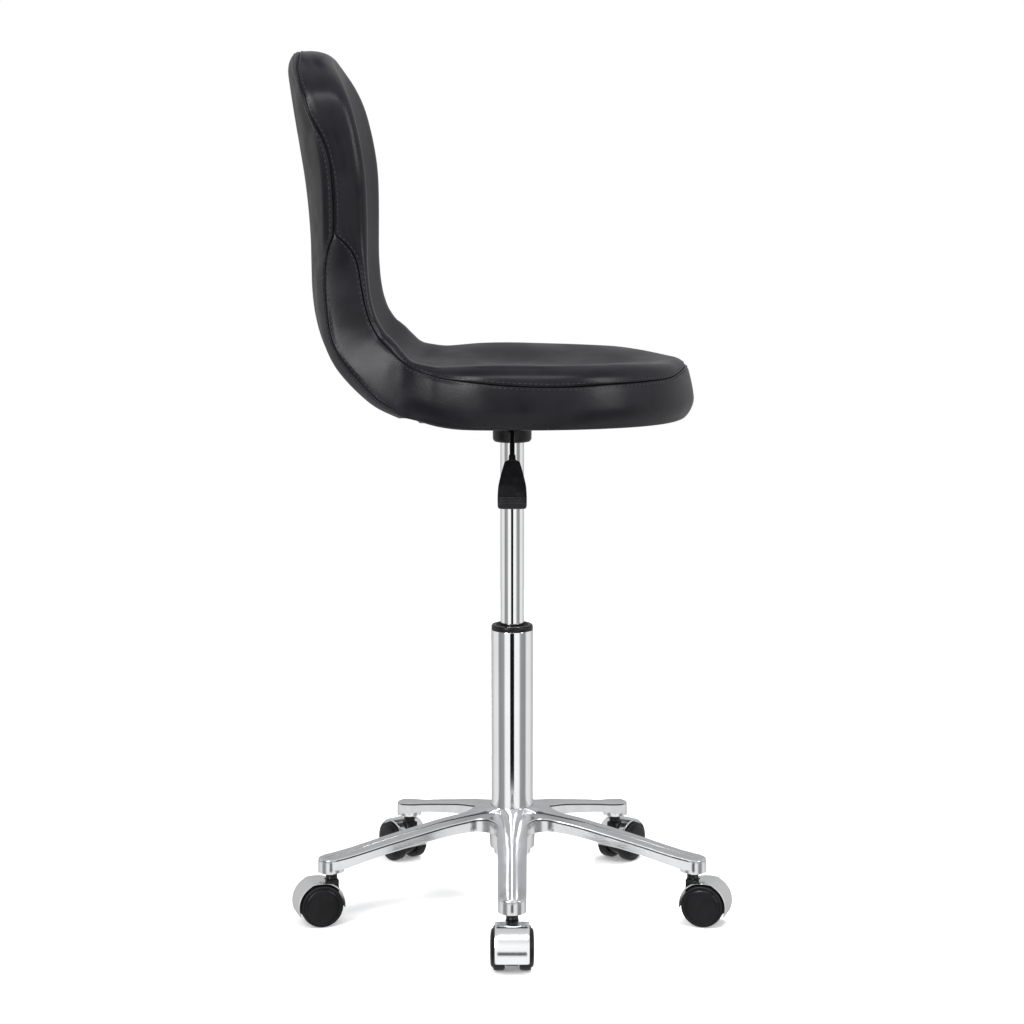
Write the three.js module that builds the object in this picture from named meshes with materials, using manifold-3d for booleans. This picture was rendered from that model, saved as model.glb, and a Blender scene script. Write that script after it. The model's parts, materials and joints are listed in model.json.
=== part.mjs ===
// Rolling stylist stool: a five-legged cast base on twin-wheel hooded casters, a gas-lift
// column, and a one-piece upholstered seat and backrest on a pressed seat plate.
// Millimetres, +Z up. The stool faces +X; the height lever hangs on the -Y side.
// The floor is z = 0 and the origin is the centre of the footprint.
import * as THREE from "three";
import { mergeVertices } from "three/addons/utils/BufferGeometryUtils.js";
import { ParametricGeometry } from "three/addons/geometries/ParametricGeometry.js";
import Module from "manifold-3d";

const wasm = await Module();
wasm.setup();

// ---------------------------------------------------------------- driving dimensions (mm)
const GAP = 0.3; // clearance between neighbouring pieces

// base
const LEG_ANGLES = [-90, -18, 54, 126, 198]; // degrees, one leg points at -Y
const STEM_RADIUS = 223.4; // column axis to caster stem
const BOSS_R = 15.5; // caster socket boss and leg tip radius
const BOSS_BOTTOM = 61.3;
const LEG_HALF_TIP = 15.4;
const LEG_HALF_ROOT = 17.6;
const WEB_FILLET = 27; // plan radius of the web between two legs
const SOCKET_R = 5.8;
const SOCKET_TOP = 76.4;

// casters
const WHEEL_R = 25;
const WHEEL_IN = 7.9; // inner face of a wheel, from the caster's mid plane
const WHEEL_OUT = 21.0; // outer edge of the tread
const CAP_OUT = 24.6; // crown of the domed wheel cap
const CAP_R = 22.0;
const TRAIL = 15.6; // swivel axis to axle
const HOOD_R = 28.6;
const HOOD_T = 1.5;
const HOOD_HALF = 19.1;
const AXLE_R = 3.0;
const WHEEL_FACETS = 22;

// column
const SLEEVE_R = 25;
const SLEEVE_TOP = 337.5;
const SLEEVE_BOTTOM = 64;
const COLLAR_TOP = 343.6;
const TUBE_R = 14;
const TUBE_BOTTOM = 286;
const TUBE_TOP = 578;
const ROD_R = 5;

// seat mechanism
const CUP_BOTTOM = 562;
const PLATE_Z0 = 594.5;
const PLATE_Z1 = 598.5;

// upholstered shell: mid line of the rigid shell in the XZ plane, front edge to top edge
const SPINE = [
  [211, 612.5], [186, 609], [150, 606.5], [100, 604.5], [50, 603.3], [0, 603], [-45, 603.2],
  [-92, 605], [-132, 613], [-166, 632], [-190, 656], [-205, 684], [-213, 712], [-216.5, 740],
  [-217.3, 770], [-217.8, 800], [-220, 835], [-223.5, 868], [-228.5, 902], [-233.5, 934],
  [-237.5, 962], [-240.5, 986], [-242.8, 1011.5],
];
const SEAT_HALF = 199; // half width of the round seat
const SEAT_MID_S = 208; // arc length from the front edge to the widest line
const SHELL_HALF_T = 4;
const SHELL_INSET = 13;
const SOFT_GAP = 1.3; // clearance between the padded layers
const PAN_END_S = 322; // arc length where the seat pan meets the rear cover

// ---------------------------------------------------------------- solids
function toSolid(geometry) {
  const g = geometry.clone();
  for (const a of ["normal", "uv"]) if (g.getAttribute(a)) g.deleteAttribute(a);
  const m = mergeVertices(g, 1e-3);
  return new wasm.Manifold(
    new wasm.Mesh({
      numProp: 3,
      vertProperties: new Float32Array(m.getAttribute("position").array),
      triVerts: new Uint32Array(m.index.array),
    }),
  );
}
function toGeometry(solid) {
  const m = solid.getMesh();
  const g = new THREE.BufferGeometry();
  const n = m.numProp;
  const p = new Float32Array((m.vertProperties.length / n) * 3);
  for (let i = 0, j = 0; i < m.vertProperties.length; i += n, j += 3) {
    p[j] = m.vertProperties[i];
    p[j + 1] = m.vertProperties[i + 1];
    p[j + 2] = m.vertProperties[i + 2];
  }
  g.setAttribute("position", new THREE.BufferAttribute(p, 3));
  g.setIndex(new THREE.BufferAttribute(new Uint32Array(m.triVerts), 1));
  const flat = g.toNonIndexed();
  flat.computeVertexNormals();
  return flat;
}
// revolved profile [[r, z], ...] about the Z axis
function lathe(profile, segments = 32, phase = 0) {
  const g = new THREE.LatheGeometry(profile.map(([r, z]) => new THREE.Vector2(r, z)), segments, phase);
  g.rotateX(Math.PI / 2);
  return g;
}
const ring = (profile, segments, phase) => lathe([...profile, profile[0]], segments, phase);
function disc(r, z0, z1, segments = 24, x = 0, y = 0, phase = 0) {
  const g = lathe([[0, z0], [r, z0], [r, z1], [0, z1]], segments, phase);
  g.translate(x, y, 0);
  return g;
}
function box(x0, x1, y0, y1, z0, z1) {
  const g = new THREE.BoxGeometry(x1 - x0, y1 - y0, z1 - z0);
  g.translate((x0 + x1) / 2, (y0 + y1) / 2, (z0 + z1) / 2);
  return g;
}
// outline in XY extruded from z0 to z1
function prism(points, z0, z1) {
  const g = new THREE.ExtrudeGeometry(new THREE.Shape(points.map(([x, y]) => new THREE.Vector2(x, y))), {
    depth: z1 - z0, bevelEnabled: false, curveSegments: 1,
  });
  g.translate(0, 0, z0);
  return g;
}
// outline in XZ extruded from y0 to y1
function slab(points, y0, y1) {
  const g = new THREE.ExtrudeGeometry(new THREE.Shape(points.map(([x, z]) => new THREE.Vector2(x, z))), {
    depth: y1 - y0, bevelEnabled: false, curveSegments: 1,
  });
  g.rotateX(Math.PI / 2);
  g.translate(0, y1, 0);
  return g;
}
const rad = (d) => (d * Math.PI) / 180;
const clamp = (x, a, b) => Math.min(b, Math.max(a, x));
const smooth = (a, b, x) => { const t = clamp((x - a) / (b - a), 0, 1); return t * t * (3 - 2 * t); };
const mix = (a, b, t) => a + (b - a) * t;

const steel = { color: 0xd9dbde, roughness: 0.12, metalness: 1 };
const cast = { color: 0xc9cbce, roughness: 0.28, metalness: 1 };
const darkSteel = { color: 0x2a2b2e, roughness: 0.45, metalness: 0.8 };
const plastic = { color: 0x131315, roughness: 0.35, metalness: 0 };
const leather = { color: 0x2b2b30, roughness: 0.5, metalness: 0 };
const foam = { color: 0xd8cf9a, roughness: 0.95, metalness: 0 };

const stool = new THREE.Group();
const body = new THREE.Group(); // built about the column axis, then set on the footprint centre
stool.add(body);
function add(name, geometry, look, parent = body) {
  const mesh = new THREE.Mesh(geometry, new THREE.MeshStandardMaterial(look));
  mesh.name = name;
  parent.add(mesh);
  return mesh;
}

// ---------------------------------------------------------------- cast base
// plan outline of the five legs with round webs, grown by d
function starOutline(d, tipCap = true) {
  const pts = [];
  const half36 = rad(36);
  for (const a of LEG_ANGLES) {
    const ca = Math.cos(rad(a)), sa = Math.sin(rad(a));
    const side = [];
    // web arc from the crotch to the tangent point on the leg's side
    const rho = WEB_FILLET - d;
    const cd = (LEG_HALF_ROOT + WEB_FILLET) / Math.sin(half36);
    const cx = cd * Math.cos(half36), cy = cd * Math.sin(half36);
    for (let i = 0; i <= 4; i++) {
      const t = mix(Math.PI + half36, 1.5 * Math.PI, i / 4);
      side.push([cx + rho * Math.cos(t), cy + rho * Math.sin(t)]);
    }
    side.push([120, mix(LEG_HALF_ROOT, LEG_HALF_TIP, 0.42) + d]);
    if (tipCap) {
      const rt = BOSS_R + d;
      for (let i = 0; i <= 5; i++) {
        const t = mix(Math.PI / 2, 0, i / 5);
        side.push([STEM_RADIUS + rt * Math.cos(t), rt * Math.sin(t)]);
      }
    } else side.push([206, LEG_HALF_TIP + d], [206, 0]);
    const left = side.map(([x, y]) => [x, -y]);
    const right = side.slice(0, -1).reverse();
    // the crotch point is shared with the next leg, so it is given once
    for (const [x, y] of [...left, ...right.slice(0, -1)]) pts.push([x * ca - y * sa, x * sa + y * ca]);
  }
  return pts;
}
const topProfile = [
  [25.3, 119.4], [51, 115.5], [85, 110.2], [112, 104.5],
  [165, 92.6], [203, 82.8], [216, 80.8], [246, 79.6],
];
const bottomProfile = [[215, 66.4], [202, 69.6], [165, 79.6], [112, 90.8], [75, 97.2], [38, 99.6]];
const FACETS = 30;
{
  const outer = toSolid(prism(starOutline(0), 55, 130));
  const skin = toSolid(lathe([[0, 55], ...[[246, 55]], ...topProfile.slice().reverse(), [0, 119.4]], FACETS));
  let star = outer.intersect(skin);
  // arched underside
  const arch = [[0, 50], [250, 50], [250, 66.4], ...bottomProfile, [0, 99.6]];
  star = star.subtract(toSolid(lathe(arch, FACETS)));
  // socket bosses, and the central boss
  for (const a of LEG_ANGLES) {
    const x = STEM_RADIUS * Math.cos(rad(a)), y = STEM_RADIUS * Math.sin(rad(a));
    star = star.add(toSolid(disc(BOSS_R - 0.02, BOSS_BOTTOM, 78.5, 20, x, y, rad(a + 90))));
  }
  star = star.add(toSolid(lathe([[0, 72], [27, 72], [28.2, 101], [0, 101]], 30)));
  // hollow of each leg, open underneath
  let hollow = toSolid(prism(starOutline(-3.2, false), 50, 125));
  const under = topProfile.filter(([r]) => r > 40 && r < 210).map(([r, z]) => [r, z - 3.6]);
  hollow = hollow.intersect(toSolid(ring([[33, 50], [206, 50], [206, 78.2], ...under.slice().reverse(), [33, 113.2]], FACETS)));
  star = star.subtract(hollow);
  // tapered bore for the column, and the stem sockets
  star = star.subtract(toSolid(lathe([[0, 60], [22.3, 60], [22.3, 72], [25.4, 106], [25.4, 130], [0, 130]], 30)));
  for (const a of LEG_ANGLES) {
    const x = STEM_RADIUS * Math.cos(rad(a)), y = STEM_RADIUS * Math.sin(rad(a));
    star = star.subtract(toSolid(disc(SOCKET_R, 50, SOCKET_TOP, 12, x, y)));
  }
  add("base_star", toGeometry(star), cast);
}

// ---------------------------------------------------------------- column
add("column_sleeve", ring([
  [8.2, SLEEVE_BOTTOM], [21.9, SLEEVE_BOTTOM], [21.9, 72], [SLEEVE_R, 106],
  [SLEEVE_R, SLEEVE_TOP], [23.4, SLEEVE_TOP], [23.4, 108], [20.4, 74], [20.4, 66.5], [8.2, 66.5],
], 30), steel);
add("guide_bushing", ring([
  [14.5, 262], [22.9, 262], [22.9, SLEEVE_TOP + GAP], [24.8, SLEEVE_TOP + GAP], [24.8, COLLAR_TOP - 1.2], [23.6, COLLAR_TOP],
  [17.6, COLLAR_TOP], [14.5, COLLAR_TOP - 2.2],
], 24), plastic);
add("thrust_bearing", ring([[5.4, 66.9], [13, 66.9], [13, 71.4], [5.4, 71.4]], 16), darkSteel);
add("retaining_clip", ring([[3.9, 60.2], [8.6, 60.2], [8.6, 61.4], [3.9, 61.4]], 16), darkSteel);
// piston rod: neck and groove at the foot, shoulder on the bearing
add("piston_rod", lathe([
  [0, 58.5], [ROD_R, 58.5], [ROD_R, 59.9], [3.6, 59.9], [3.6, 61.7], [ROD_R, 61.7], [ROD_R, 71.7], [8, 71.7], [8, 74.2], [ROD_R, 74.2],
  [ROD_R, 294], [4, 294], [4, 310], [0, 310],
], 16), steel);
add("gas_piston", ring([[4.3, 294.3], [11.2, 294.3], [11.2, 306.3], [4.3, 306.3]], 20), plastic);
add("bump_stop", ring([[5.4, 74.5], [12, 74.5], [12, 82.5], [5.4, 82.5]], 18), plastic);
add("gas_tube", ring([
  [5.4, TUBE_BOTTOM], [TUBE_R, TUBE_BOTTOM], [TUBE_R, TUBE_TOP - 2], [12.6, TUBE_TOP], [3.5, TUBE_TOP],
  [3.5, TUBE_TOP - 14], [11.7, TUBE_TOP - 14], [11.7, TUBE_BOTTOM + 6], [5.4, TUBE_BOTTOM + 6],
], 24), steel);
add("valve_button", lathe([[0, 566], [3, 566], [3, 581.6], [0, 581.6]], 12), darkSteel);

// ---------------------------------------------------------------- seat plate, lever, bolts
{
  let plate = toSolid(prism([[-76, -64], [78, -64], [86, -56], [86, 56], [78, 64], [-76, 64], [-84, 56], [-84, -56]], PLATE_Z0, PLATE_Z1));
  plate = plate.add(toSolid(lathe([
    [0, CUP_BOTTOM], [20.8, CUP_BOTTOM], [22.8, CUP_BOTTOM + 2.5], [22.8, 576], [25.4, 581.5], [25.4, 594.9], [0, 594.9],
  ], 24)));
  plate = plate.subtract(toSolid(lathe([[0, 550], [14.6, 550], [14.6, 579.5], [18.5, 579.5], [18.5, 594.2], [0, 594.2]], 24)));
  plate = plate.subtract(toSolid(box(-4.6, 4.6, -40, -10, 575.4, 594.2)));
  const pin = new THREE.CylinderGeometry(2.4, 2.4, 60, 10);
  pin.rotateZ(Math.PI / 2);
  pin.translate(0, -17, 584.6);
  plate = plate.subtract(toSolid(pin));
  for (const x of [-70, 70]) for (const y of [-46, 46]) plate = plate.subtract(toSolid(disc(3.4, 590, 600, 10, x, y)));
  add("seat_plate", toGeometry(plate), darkSteel);
}
{
  const pin = new THREE.CylinderGeometry(2, 2, 36, 10);
  pin.rotateZ(Math.PI / 2);
  pin.translate(0, -17, 584.6);
  add("lever_pivot_pin", pin, darkSteel);
}
let k = 0;
for (const [x, y] of [[70, -46], [70, 46], [-70, 46], [-70, -46]]) {
  add(`plate_bolt_${++k}`, lathe([[0, 592.3], [5.6, 592.3], [5.6, 594.2], [3, 594.2], [3, 604.6], [0, 604.6]], 10).translate(x, y, 0), darkSteel);
}
// lever: flat tongue over the valve, rod out through the slot in the cup, paddle hanging outside
{
  const path = new THREE.CatmullRomCurve3([
    [-6, 584.6], [-17, 584.6], [-30, 583.4], [-50, 580.4], [-70, 575.6], [-86, 568.4], [-99, 557], [-112, 543.4],
  ].map(([y, z]) => new THREE.Vector3(0, y, z)), false, "centripetal");
  const section = new THREE.Shape();
  section.absarc(0, 0, 2.9, 0, 2 * Math.PI);
  const tube = new THREE.ExtrudeGeometry(section, { steps: 14, extrudePath: path, curveSegments: 5, bevelEnabled: false });
  let rod = toSolid(tube);
  rod = rod.add(toSolid(box(-4.1, 4.1, -20.4, 3.4, 582.0, 587.4)));
  const hole = new THREE.CylinderGeometry(2.4, 2.4, 30, 10);
  hole.rotateZ(Math.PI / 2);
  hole.translate(0, -17, 584.6);
  rod = rod.subtract(toSolid(hole));
  add("lever_rod", toGeometry(rod), darkSteel);
  // paddle outline in its own plane: u across, v along the lever
  const outline = [
    [3.9, 0], [4.3, 9], [5.2, 13], [8.9, 15.2], [11.2, 24], [14.6, 40], [16.2, 52], [16.4, 60], [16.2, 74], [14.6, 76.6],
  ];
  const full = [...outline, ...outline.slice().reverse().map(([u, v]) => [-u, v])];
  let paddle = toSolid(prism(full, -3.6, 3.4));
  // thicker grip band at the end
  paddle = paddle.add(toSolid(prism([[-16, 62], [16, 62], [16, 75.6], [-16, 75.6]], -4.8, 4.6)));
  const bore = new THREE.CylinderGeometry(3.25, 3.25, 40, 20);
  bore.translate(0, -0.5, 0);
  paddle = paddle.add(toSolid(new THREE.CylinderGeometry(4.9, 4.6, 24, 20).translate(0, 12, 0)));
  paddle = paddle.subtract(toSolid(bore.clone().translate(0, 0, 0)));
  const g = toGeometry(paddle);
  // +v runs outward and down
  const m = new THREE.Matrix4();
  const dir = new THREE.Vector3(0, -13, -13.6).normalize();
  const u = new THREE.Vector3(-1, 0, 0);
  const w = new THREE.Vector3().crossVectors(u, dir);
  m.makeBasis(u, dir, w).setPosition(0, -99.5, 556.5);
  g.applyMatrix4(m);
  add("lever_paddle", g, plastic);
}

// ---------------------------------------------------------------- upholstered shell
const curve = new THREE.CatmullRomCurve3(SPINE.map(([x, z]) => new THREE.Vector3(x, 0, z)), false, "centripetal");
curve.arcLengthDivisions = 800;
const LENGTH = curve.getLength();
const TABLE = 600;
const table = [];
for (let i = 0; i <= TABLE; i++) {
  const p = curve.getPointAt(i / TABLE), t = curve.getTangentAt(i / TABLE);
  table.push([p.x, p.z, t.x, t.z]);
}
function frameAt(s) {
  const f = clamp(s / LENGTH, 0, 1) * TABLE, i = Math.min(TABLE - 1, Math.floor(f)), t = f - i;
  const a = table[i], b = table[i + 1];
  const c = a.map((v, j) => mix(v, b[j], t));
  const l = Math.hypot(c[2], c[3]), e = clamp(s, 0, LENGTH) - s; // past an end the frame runs on straight
  const tx = c[2] / l, tz = c[3] / l;
  return { x: c[0] - e * tx, z: c[1] - e * tz, nx: tz, nz: -tx };
}
// half width of the unrolled shell along its arc length
const WIDTHS = [[SEAT_MID_S, SEAT_HALF], [250, 196], [292, 184], [335, 166], [380, 149], [425, 136.5], [470, 128.5], [520, 125], [560, 127], [600, 134], [640, 142.5], [680, 147.5], [700, 148]];
const TOP_S = 700;
function halfWidth(s) {
  if (s <= SEAT_MID_S) return SEAT_HALF * Math.sqrt(Math.max(0, 1 - ((SEAT_MID_S - s) / SEAT_MID_S) ** 2));
  if (s >= TOP_S) return 148 * Math.pow(Math.max(0, 1 - ((s - TOP_S) / (LENGTH - TOP_S)) ** 2.2), 1 / 2.1);
  let i = 0;
  while (i < WIDTHS.length - 2 && s > WIDTHS[i + 1][0]) i++;
  const P = (j) => WIDTHS[clamp(j, 0, WIDTHS.length - 1)];
  const [s0, w0] = P(i), [s1, w1] = P(i + 1), h = s1 - s0, t = (s - s0) / h;
  const slope = (j) => { const a = P(j - 1), b = P(j + 1); return j <= 0 || j >= WIDTHS.length - 1 ? 0 : (b[1] - a[1]) / (b[0] - a[0]); };
  const m0 = slope(i) * h, m1 = slope(i + 1) * h;
  return (2 * t ** 3 - 3 * t ** 2 + 1) * w0 + (t ** 3 - 2 * t ** 2 + t) * m0 + (-2 * t ** 3 + 3 * t ** 2) * w1 + (t ** 3 - t ** 2) * m1;
}
// how far the sides rise above the mid line, along the shell's front normal
function lift(s, y) {
  const d = mix(mix(10, 26, smooth(260, 400, s)), 17, smooth(640, LENGTH, s));
  return d * Math.min(1.2, (y / mix(190, 130, smooth(250, 420, s))) ** 2);
}
// rows along the shell: close together at both round ends and round the bend
const ROWS = [0, 7, 26, 60, 112, 165, 214, 258, 292, 316, 338, 360, 383, 408, 440, 490, 550, 616, 676, 718, 750, 771, LENGTH];
const SLICES = 2 * (ROWS.length - 1);
// outline point i of SLICES and the centre-line point that it is drawn from
function outline(i) {
  const half = ROWS.length - 1;
  const left = i <= half, j = left ? i : SLICES - i;
  const s = j === half ? LENGTH : Math.min(ROWS[j], LENGTH);
  return { s, y: (left ? 1 : -1) * halfWidth(s), m: mix(105, LENGTH - 95, s / LENGTH) };
}
// closed solid between stations [rho, n] (rho 0..1 outwards from the centre line, n along the normal)
function layer(stations, inset = 0) {
  const g = new ParametricGeometry((u, v, target) => {
    const o = outline(Math.round(u * SLICES) % SLICES);
    const i = Math.round(v * (stations.length - 1));
    const [rho, n] = stations[i];
    let ds = o.s - o.m, dy = o.y;
    const len = Math.hypot(ds, dy) || 1;
    const r = rho * Math.max(0, len - inset);
    const s = o.m + (ds / len) * r, y = (dy / len) * r;
    const nn = typeof n === "function" ? n(s, rho) : n;
    const f = frameAt(s), h = lift(s, y) + nn;
    target.set(f.x + f.nx * h, Math.abs(y) < 1e-6 ? 0 : y, f.z + f.nz * h);
  }, SLICES, stations.length - 1);
  return toSolid(g);
}
// thickness of the padding in front of the shell's mid line
const topFace = (s, rho) => {
  const centre = mix(mix(44, 38, smooth(280, 360, s)), 35, smooth(420, 520, s));
  const crest = mix(mix(50, 42, smooth(280, 380, s)), 38, smooth(430, 540, s));
  const seam = mix(mix(37, 27, smooth(300, 400, s)), 12, smooth(520, 640, s));
  const k = smooth(0.2, 0.84, rho);
  return rho <= 0.84 ? mix(centre, crest, k) : mix(crest, seam, ((rho - 0.84) / 0.16) ** 2.2);
};
const EDGE = -15;
const solidFront = layer([
  [0, EDGE], [0.95, EDGE], [1, EDGE + 5], [1, (s, r) => topFace(s, 1)],
  [0.95, (s) => topFace(s, 0.95)], [0.84, (s) => topFace(s, 0.84)], [0.62, (s) => topFace(s, 0.62)], [0.34, (s) => topFace(s, 0.34)], [0, (s) => topFace(s, 0)],
]);
// plane across the spine at arc length s: everything beyond it (towards the backrest)
function beyond(s, shift = 0) {
  const f = frameAt(s);
  const g = new THREE.BoxGeometry(900, 900, 1600);
  g.translate(-450, 0, 0);
  // local -X points along the spine
  const tx = -f.nz, tz = f.nx;
  const a = Math.atan2(-tz, -tx);
  const m = new THREE.Matrix4().makeRotationY(-a).setPosition(f.x + tx * shift, 0, f.z + tz * shift);
  return toSolid(g.applyMatrix4(m));
}
const LOW = SHELL_HALF_T + SOFT_GAP;
const sheet = (n0, n1, inset) => layer([[0, n0], [0.34, n0], [0.67, n0], [1, n0], [1, n1], [0.67, n1], [0.34, n1], [0, n1]], inset);
{
  const shell = sheet(-SHELL_HALF_T, SHELL_HALF_T, SHELL_INSET);
  let pierced = shell;
  for (const x of [-70, 70]) for (const y of [-46, 46]) pierced = pierced.subtract(toSolid(disc(3.4, 590, 605.2, 10, x, y)));
  add("seat_shell", toGeometry(pierced), { color: 0x6b5a45, roughness: 0.8, metalness: 0 });

  // rear cover: padded back panel behind the shell
  const rearFull = layer([
    [0, EDGE], [0.5, EDGE], [0.93, EDGE], [1, EDGE + 5], [1, -LOW - 0.3], [0.67, -LOW - 0.3], [0.34, -LOW - 0.3], [0, -LOW - 0.3],
  ]);
  add("rear_cover", toGeometry(rearFull.intersect(beyond(PAN_END_S, 1))), leather);

  // seat pan: a shallow moulded tray under the seat, open at the cup
  const seatSide = toSolid(box(-1000, 1000, -500, 500, 0, 1500)).subtract(beyond(PAN_END_S, -0.6));
  let pan = layer([
    [0, EDGE], [0.5, EDGE], [1, EDGE], [1, -LOW], [0.67, -LOW], [0.34, -LOW], [0, -LOW],
  ], 10).intersect(seatSide);
  const inner = layer([
    [0, EDGE + 1.5], [0.5, EDGE + 1.5], [1, EDGE + 1.5], [1, 0], [0.5, 0], [0, 0],
  ], 13).intersect(toSolid(box(-1000, 1000, -500, 500, 0, 1500)).subtract(beyond(PAN_END_S, -4.6)));
  pan = pan.subtract(inner).subtract(toSolid(disc(38, 560, 600, 30)));
  add("seat_pan", toGeometry(pan), plastic);

  // foam pad on the shell
  const t = (d) => (s, r) => topFace(s, r) - d;
  const foamBlock = (d, low, inset) => layer([
    [0, low], [0.34, low], [0.67, low], [1, low], [1, (s) => topFace(s, 1) - d], [0.84, (s) => topFace(s, 0.84) - d], [0.62, (s) => topFace(s, 0.62) - d], [0.34, (s) => topFace(s, 0.34) - d], [0, (s) => topFace(s, 0) - d],
  ], inset);
  add("foam_pad", toGeometry(foamBlock(4.2, LOW + 0.7, 14)), foam);

  // front cover: seat and backrest face with its boxed side
  const rearCut = layer([[0, -60], [0.5, -60], [1, -60], [1, -LOW + 1], [0.67, -LOW + 1], [0.34, -LOW + 1], [0, -LOW + 1]], -0.6).intersect(beyond(PAN_END_S, 0.7));
  const panCut = layer([[0, -60], [0.5, -60], [1, -60], [1, -LOW + 1], [0.67, -LOW + 1], [0.34, -LOW + 1], [0, -LOW + 1]], 9);
  let cover = solidFront.subtract(rearCut).subtract(panCut.subtract(beyond(PAN_END_S, 0.8)));
  cover = cover.subtract(sheet(-SHELL_HALF_T - 7, LOW, SHELL_INSET - 1));
  cover = cover.subtract(foamBlock(3.2, -2, 13));
  add("front_cover", toGeometry(cover), leather);
}

// ---------------------------------------------------------------- casters
// outer line of the hood in the caster's XZ plane: u = outwards from the swivel axis
function hoodLine(r, inner) {
  const pts = [];
  const ang = (d) => [TRAIL + r * Math.cos(rad(d)), WHEEL_R + r * Math.sin(rad(d))];
  for (let i = 0; i <= 6; i++) pts.push(ang(mix(-21.5, 52, i / 6)));
  // flatter crown from the crease to the stem side, then the front arc
  const top = WHEEL_R + r * 0.965;
  pts.push([TRAIL + r * 0.36, top + 0.2], [TRAIL - r * 0.05, top + 0.4]);
  for (let i = 0; i <= 6; i++) pts.push(ang(mix(108, 187, i / 6)));
  return pts;
}
LEG_ANGLES.forEach((a, i) => {
  const n = i + 1;
  const g = new THREE.Group();
  g.position.set(STEM_RADIUS * Math.cos(rad(a)), STEM_RADIUS * Math.sin(rad(a)), 0);
  g.rotation.z = rad(a);
  body.add(g);
  // stem: pin pressed in the leg, collar, and spigot in the fork
  add(`caster_${n}_stem`, lathe([[0, 38.5], [4, 38.5], [4, 52.6], [6.8, 52.6], [6.8, 60.9], [5.3, 60.9], [5.3, 76], [0, 76]], 14), darkSteel, g);

  const outer = hoodLine(HOOD_R), inner = hoodLine(HOOD_R - HOOD_T).reverse();
  let hood = toSolid(slab([...outer, ...inner], -HOOD_HALF, HOOD_HALF));
  hood = hood.subtract(toSolid(disc(8.6, 30, 70, 16)));
  hood = hood.subtract(toSolid(box(-30, 0, -8.6, 8.6, 44, 70)));
  add(`caster_${n}_hood`, toGeometry(hood), steel, g);

  // fork: web between the wheels, with the swivel housing under the stem collar
  const web = hoodLine(HOOD_R - HOOD_T - GAP);
  let fork = toSolid(slab([...web, [-3, 16], [8, 13.5], [30, 13.5]], -7.5, 7.5));
  fork = fork.add(toSolid(disc(7.49, 22, 52.3, 14)));
  fork = fork.subtract(toSolid(disc(4.5, 38.1, 60, 12)));
  const bore = new THREE.CylinderGeometry(AXLE_R + 0.5, AXLE_R + 0.5, 40, 12);
  bore.translate(TRAIL, 0, WHEEL_R);
  fork = fork.subtract(toSolid(bore));
  add(`caster_${n}_fork`, toGeometry(fork), plastic, g);

  const axle = new THREE.CylinderGeometry(AXLE_R, AXLE_R, 37, 12);
  axle.translate(TRAIL, 0, WHEEL_R);
  add(`caster_${n}_axle`, axle, darkSteel, g);

  // wheels: tread flats are at exactly z = 0
  const R = WHEEL_R / Math.cos(Math.PI / WHEEL_FACETS);
  const wheel = [
    [0, CAP_OUT], [14, CAP_OUT - 0.7], [CAP_R - 1, CAP_OUT - 2], [CAP_R, WHEEL_OUT], [R, WHEEL_OUT],
    [R, WHEEL_IN], [AXLE_R + 0.5, WHEEL_IN], [AXLE_R + 0.5, 18.9], [0, 18.9],
  ].reverse();
  for (const [side, sign] of [["left", 1], ["right", -1]]) {
    const w = lathe(wheel, WHEEL_FACETS, Math.PI / WHEEL_FACETS);
    w.rotateX(sign > 0 ? -Math.PI / 2 : Math.PI / 2);
    w.translate(TRAIL, 0, WHEEL_R);
    add(`caster_${n}_wheel_${side}`, w, plastic, g);
  }
});

// ---------------------------------------------------------------- footprint centre
body.updateMatrixWorld(true);
const extent = new THREE.Box3().setFromObject(body, true);
body.position.set(-Math.round(extent.min.x + extent.max.x) / 2, -Math.round(extent.min.y + extent.max.y) / 2, 0);

export default stool;
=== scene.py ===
# Rolling stylist stool: the looks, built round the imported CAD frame. Lengths below are in mm
# about the column axis and are turned into metres in the row frame by make().
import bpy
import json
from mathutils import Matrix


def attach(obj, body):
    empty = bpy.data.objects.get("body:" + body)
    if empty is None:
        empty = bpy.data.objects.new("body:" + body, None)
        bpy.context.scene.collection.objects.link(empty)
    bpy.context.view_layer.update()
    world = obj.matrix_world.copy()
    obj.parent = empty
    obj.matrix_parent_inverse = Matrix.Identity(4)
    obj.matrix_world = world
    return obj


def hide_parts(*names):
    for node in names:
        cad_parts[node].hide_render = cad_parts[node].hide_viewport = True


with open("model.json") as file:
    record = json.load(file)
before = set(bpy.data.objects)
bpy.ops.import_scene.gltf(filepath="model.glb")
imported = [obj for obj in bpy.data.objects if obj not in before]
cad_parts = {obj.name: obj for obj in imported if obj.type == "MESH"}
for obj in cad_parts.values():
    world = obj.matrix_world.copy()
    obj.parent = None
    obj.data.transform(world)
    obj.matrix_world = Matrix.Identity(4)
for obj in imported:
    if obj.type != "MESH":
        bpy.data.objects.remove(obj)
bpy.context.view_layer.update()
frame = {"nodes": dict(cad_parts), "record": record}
import bpy, bmesh, json
import numpy as np
from math import radians, sin, cos, pi, sqrt, atan2, hypot, tan, degrees, asin, acos
from mathutils import Vector, Matrix

scene = bpy.context.scene
AXIS_Y = 20.0  # the column stands 20 mm behind the footprint's centre


# ------------------------------------------------------------------ materials
def new_mat(name):
    m = bpy.data.materials.new(name)
    m.use_nodes = True
    return m, m.node_tree.nodes, m.node_tree.links, m.node_tree.nodes["Principled BSDF"]


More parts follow.
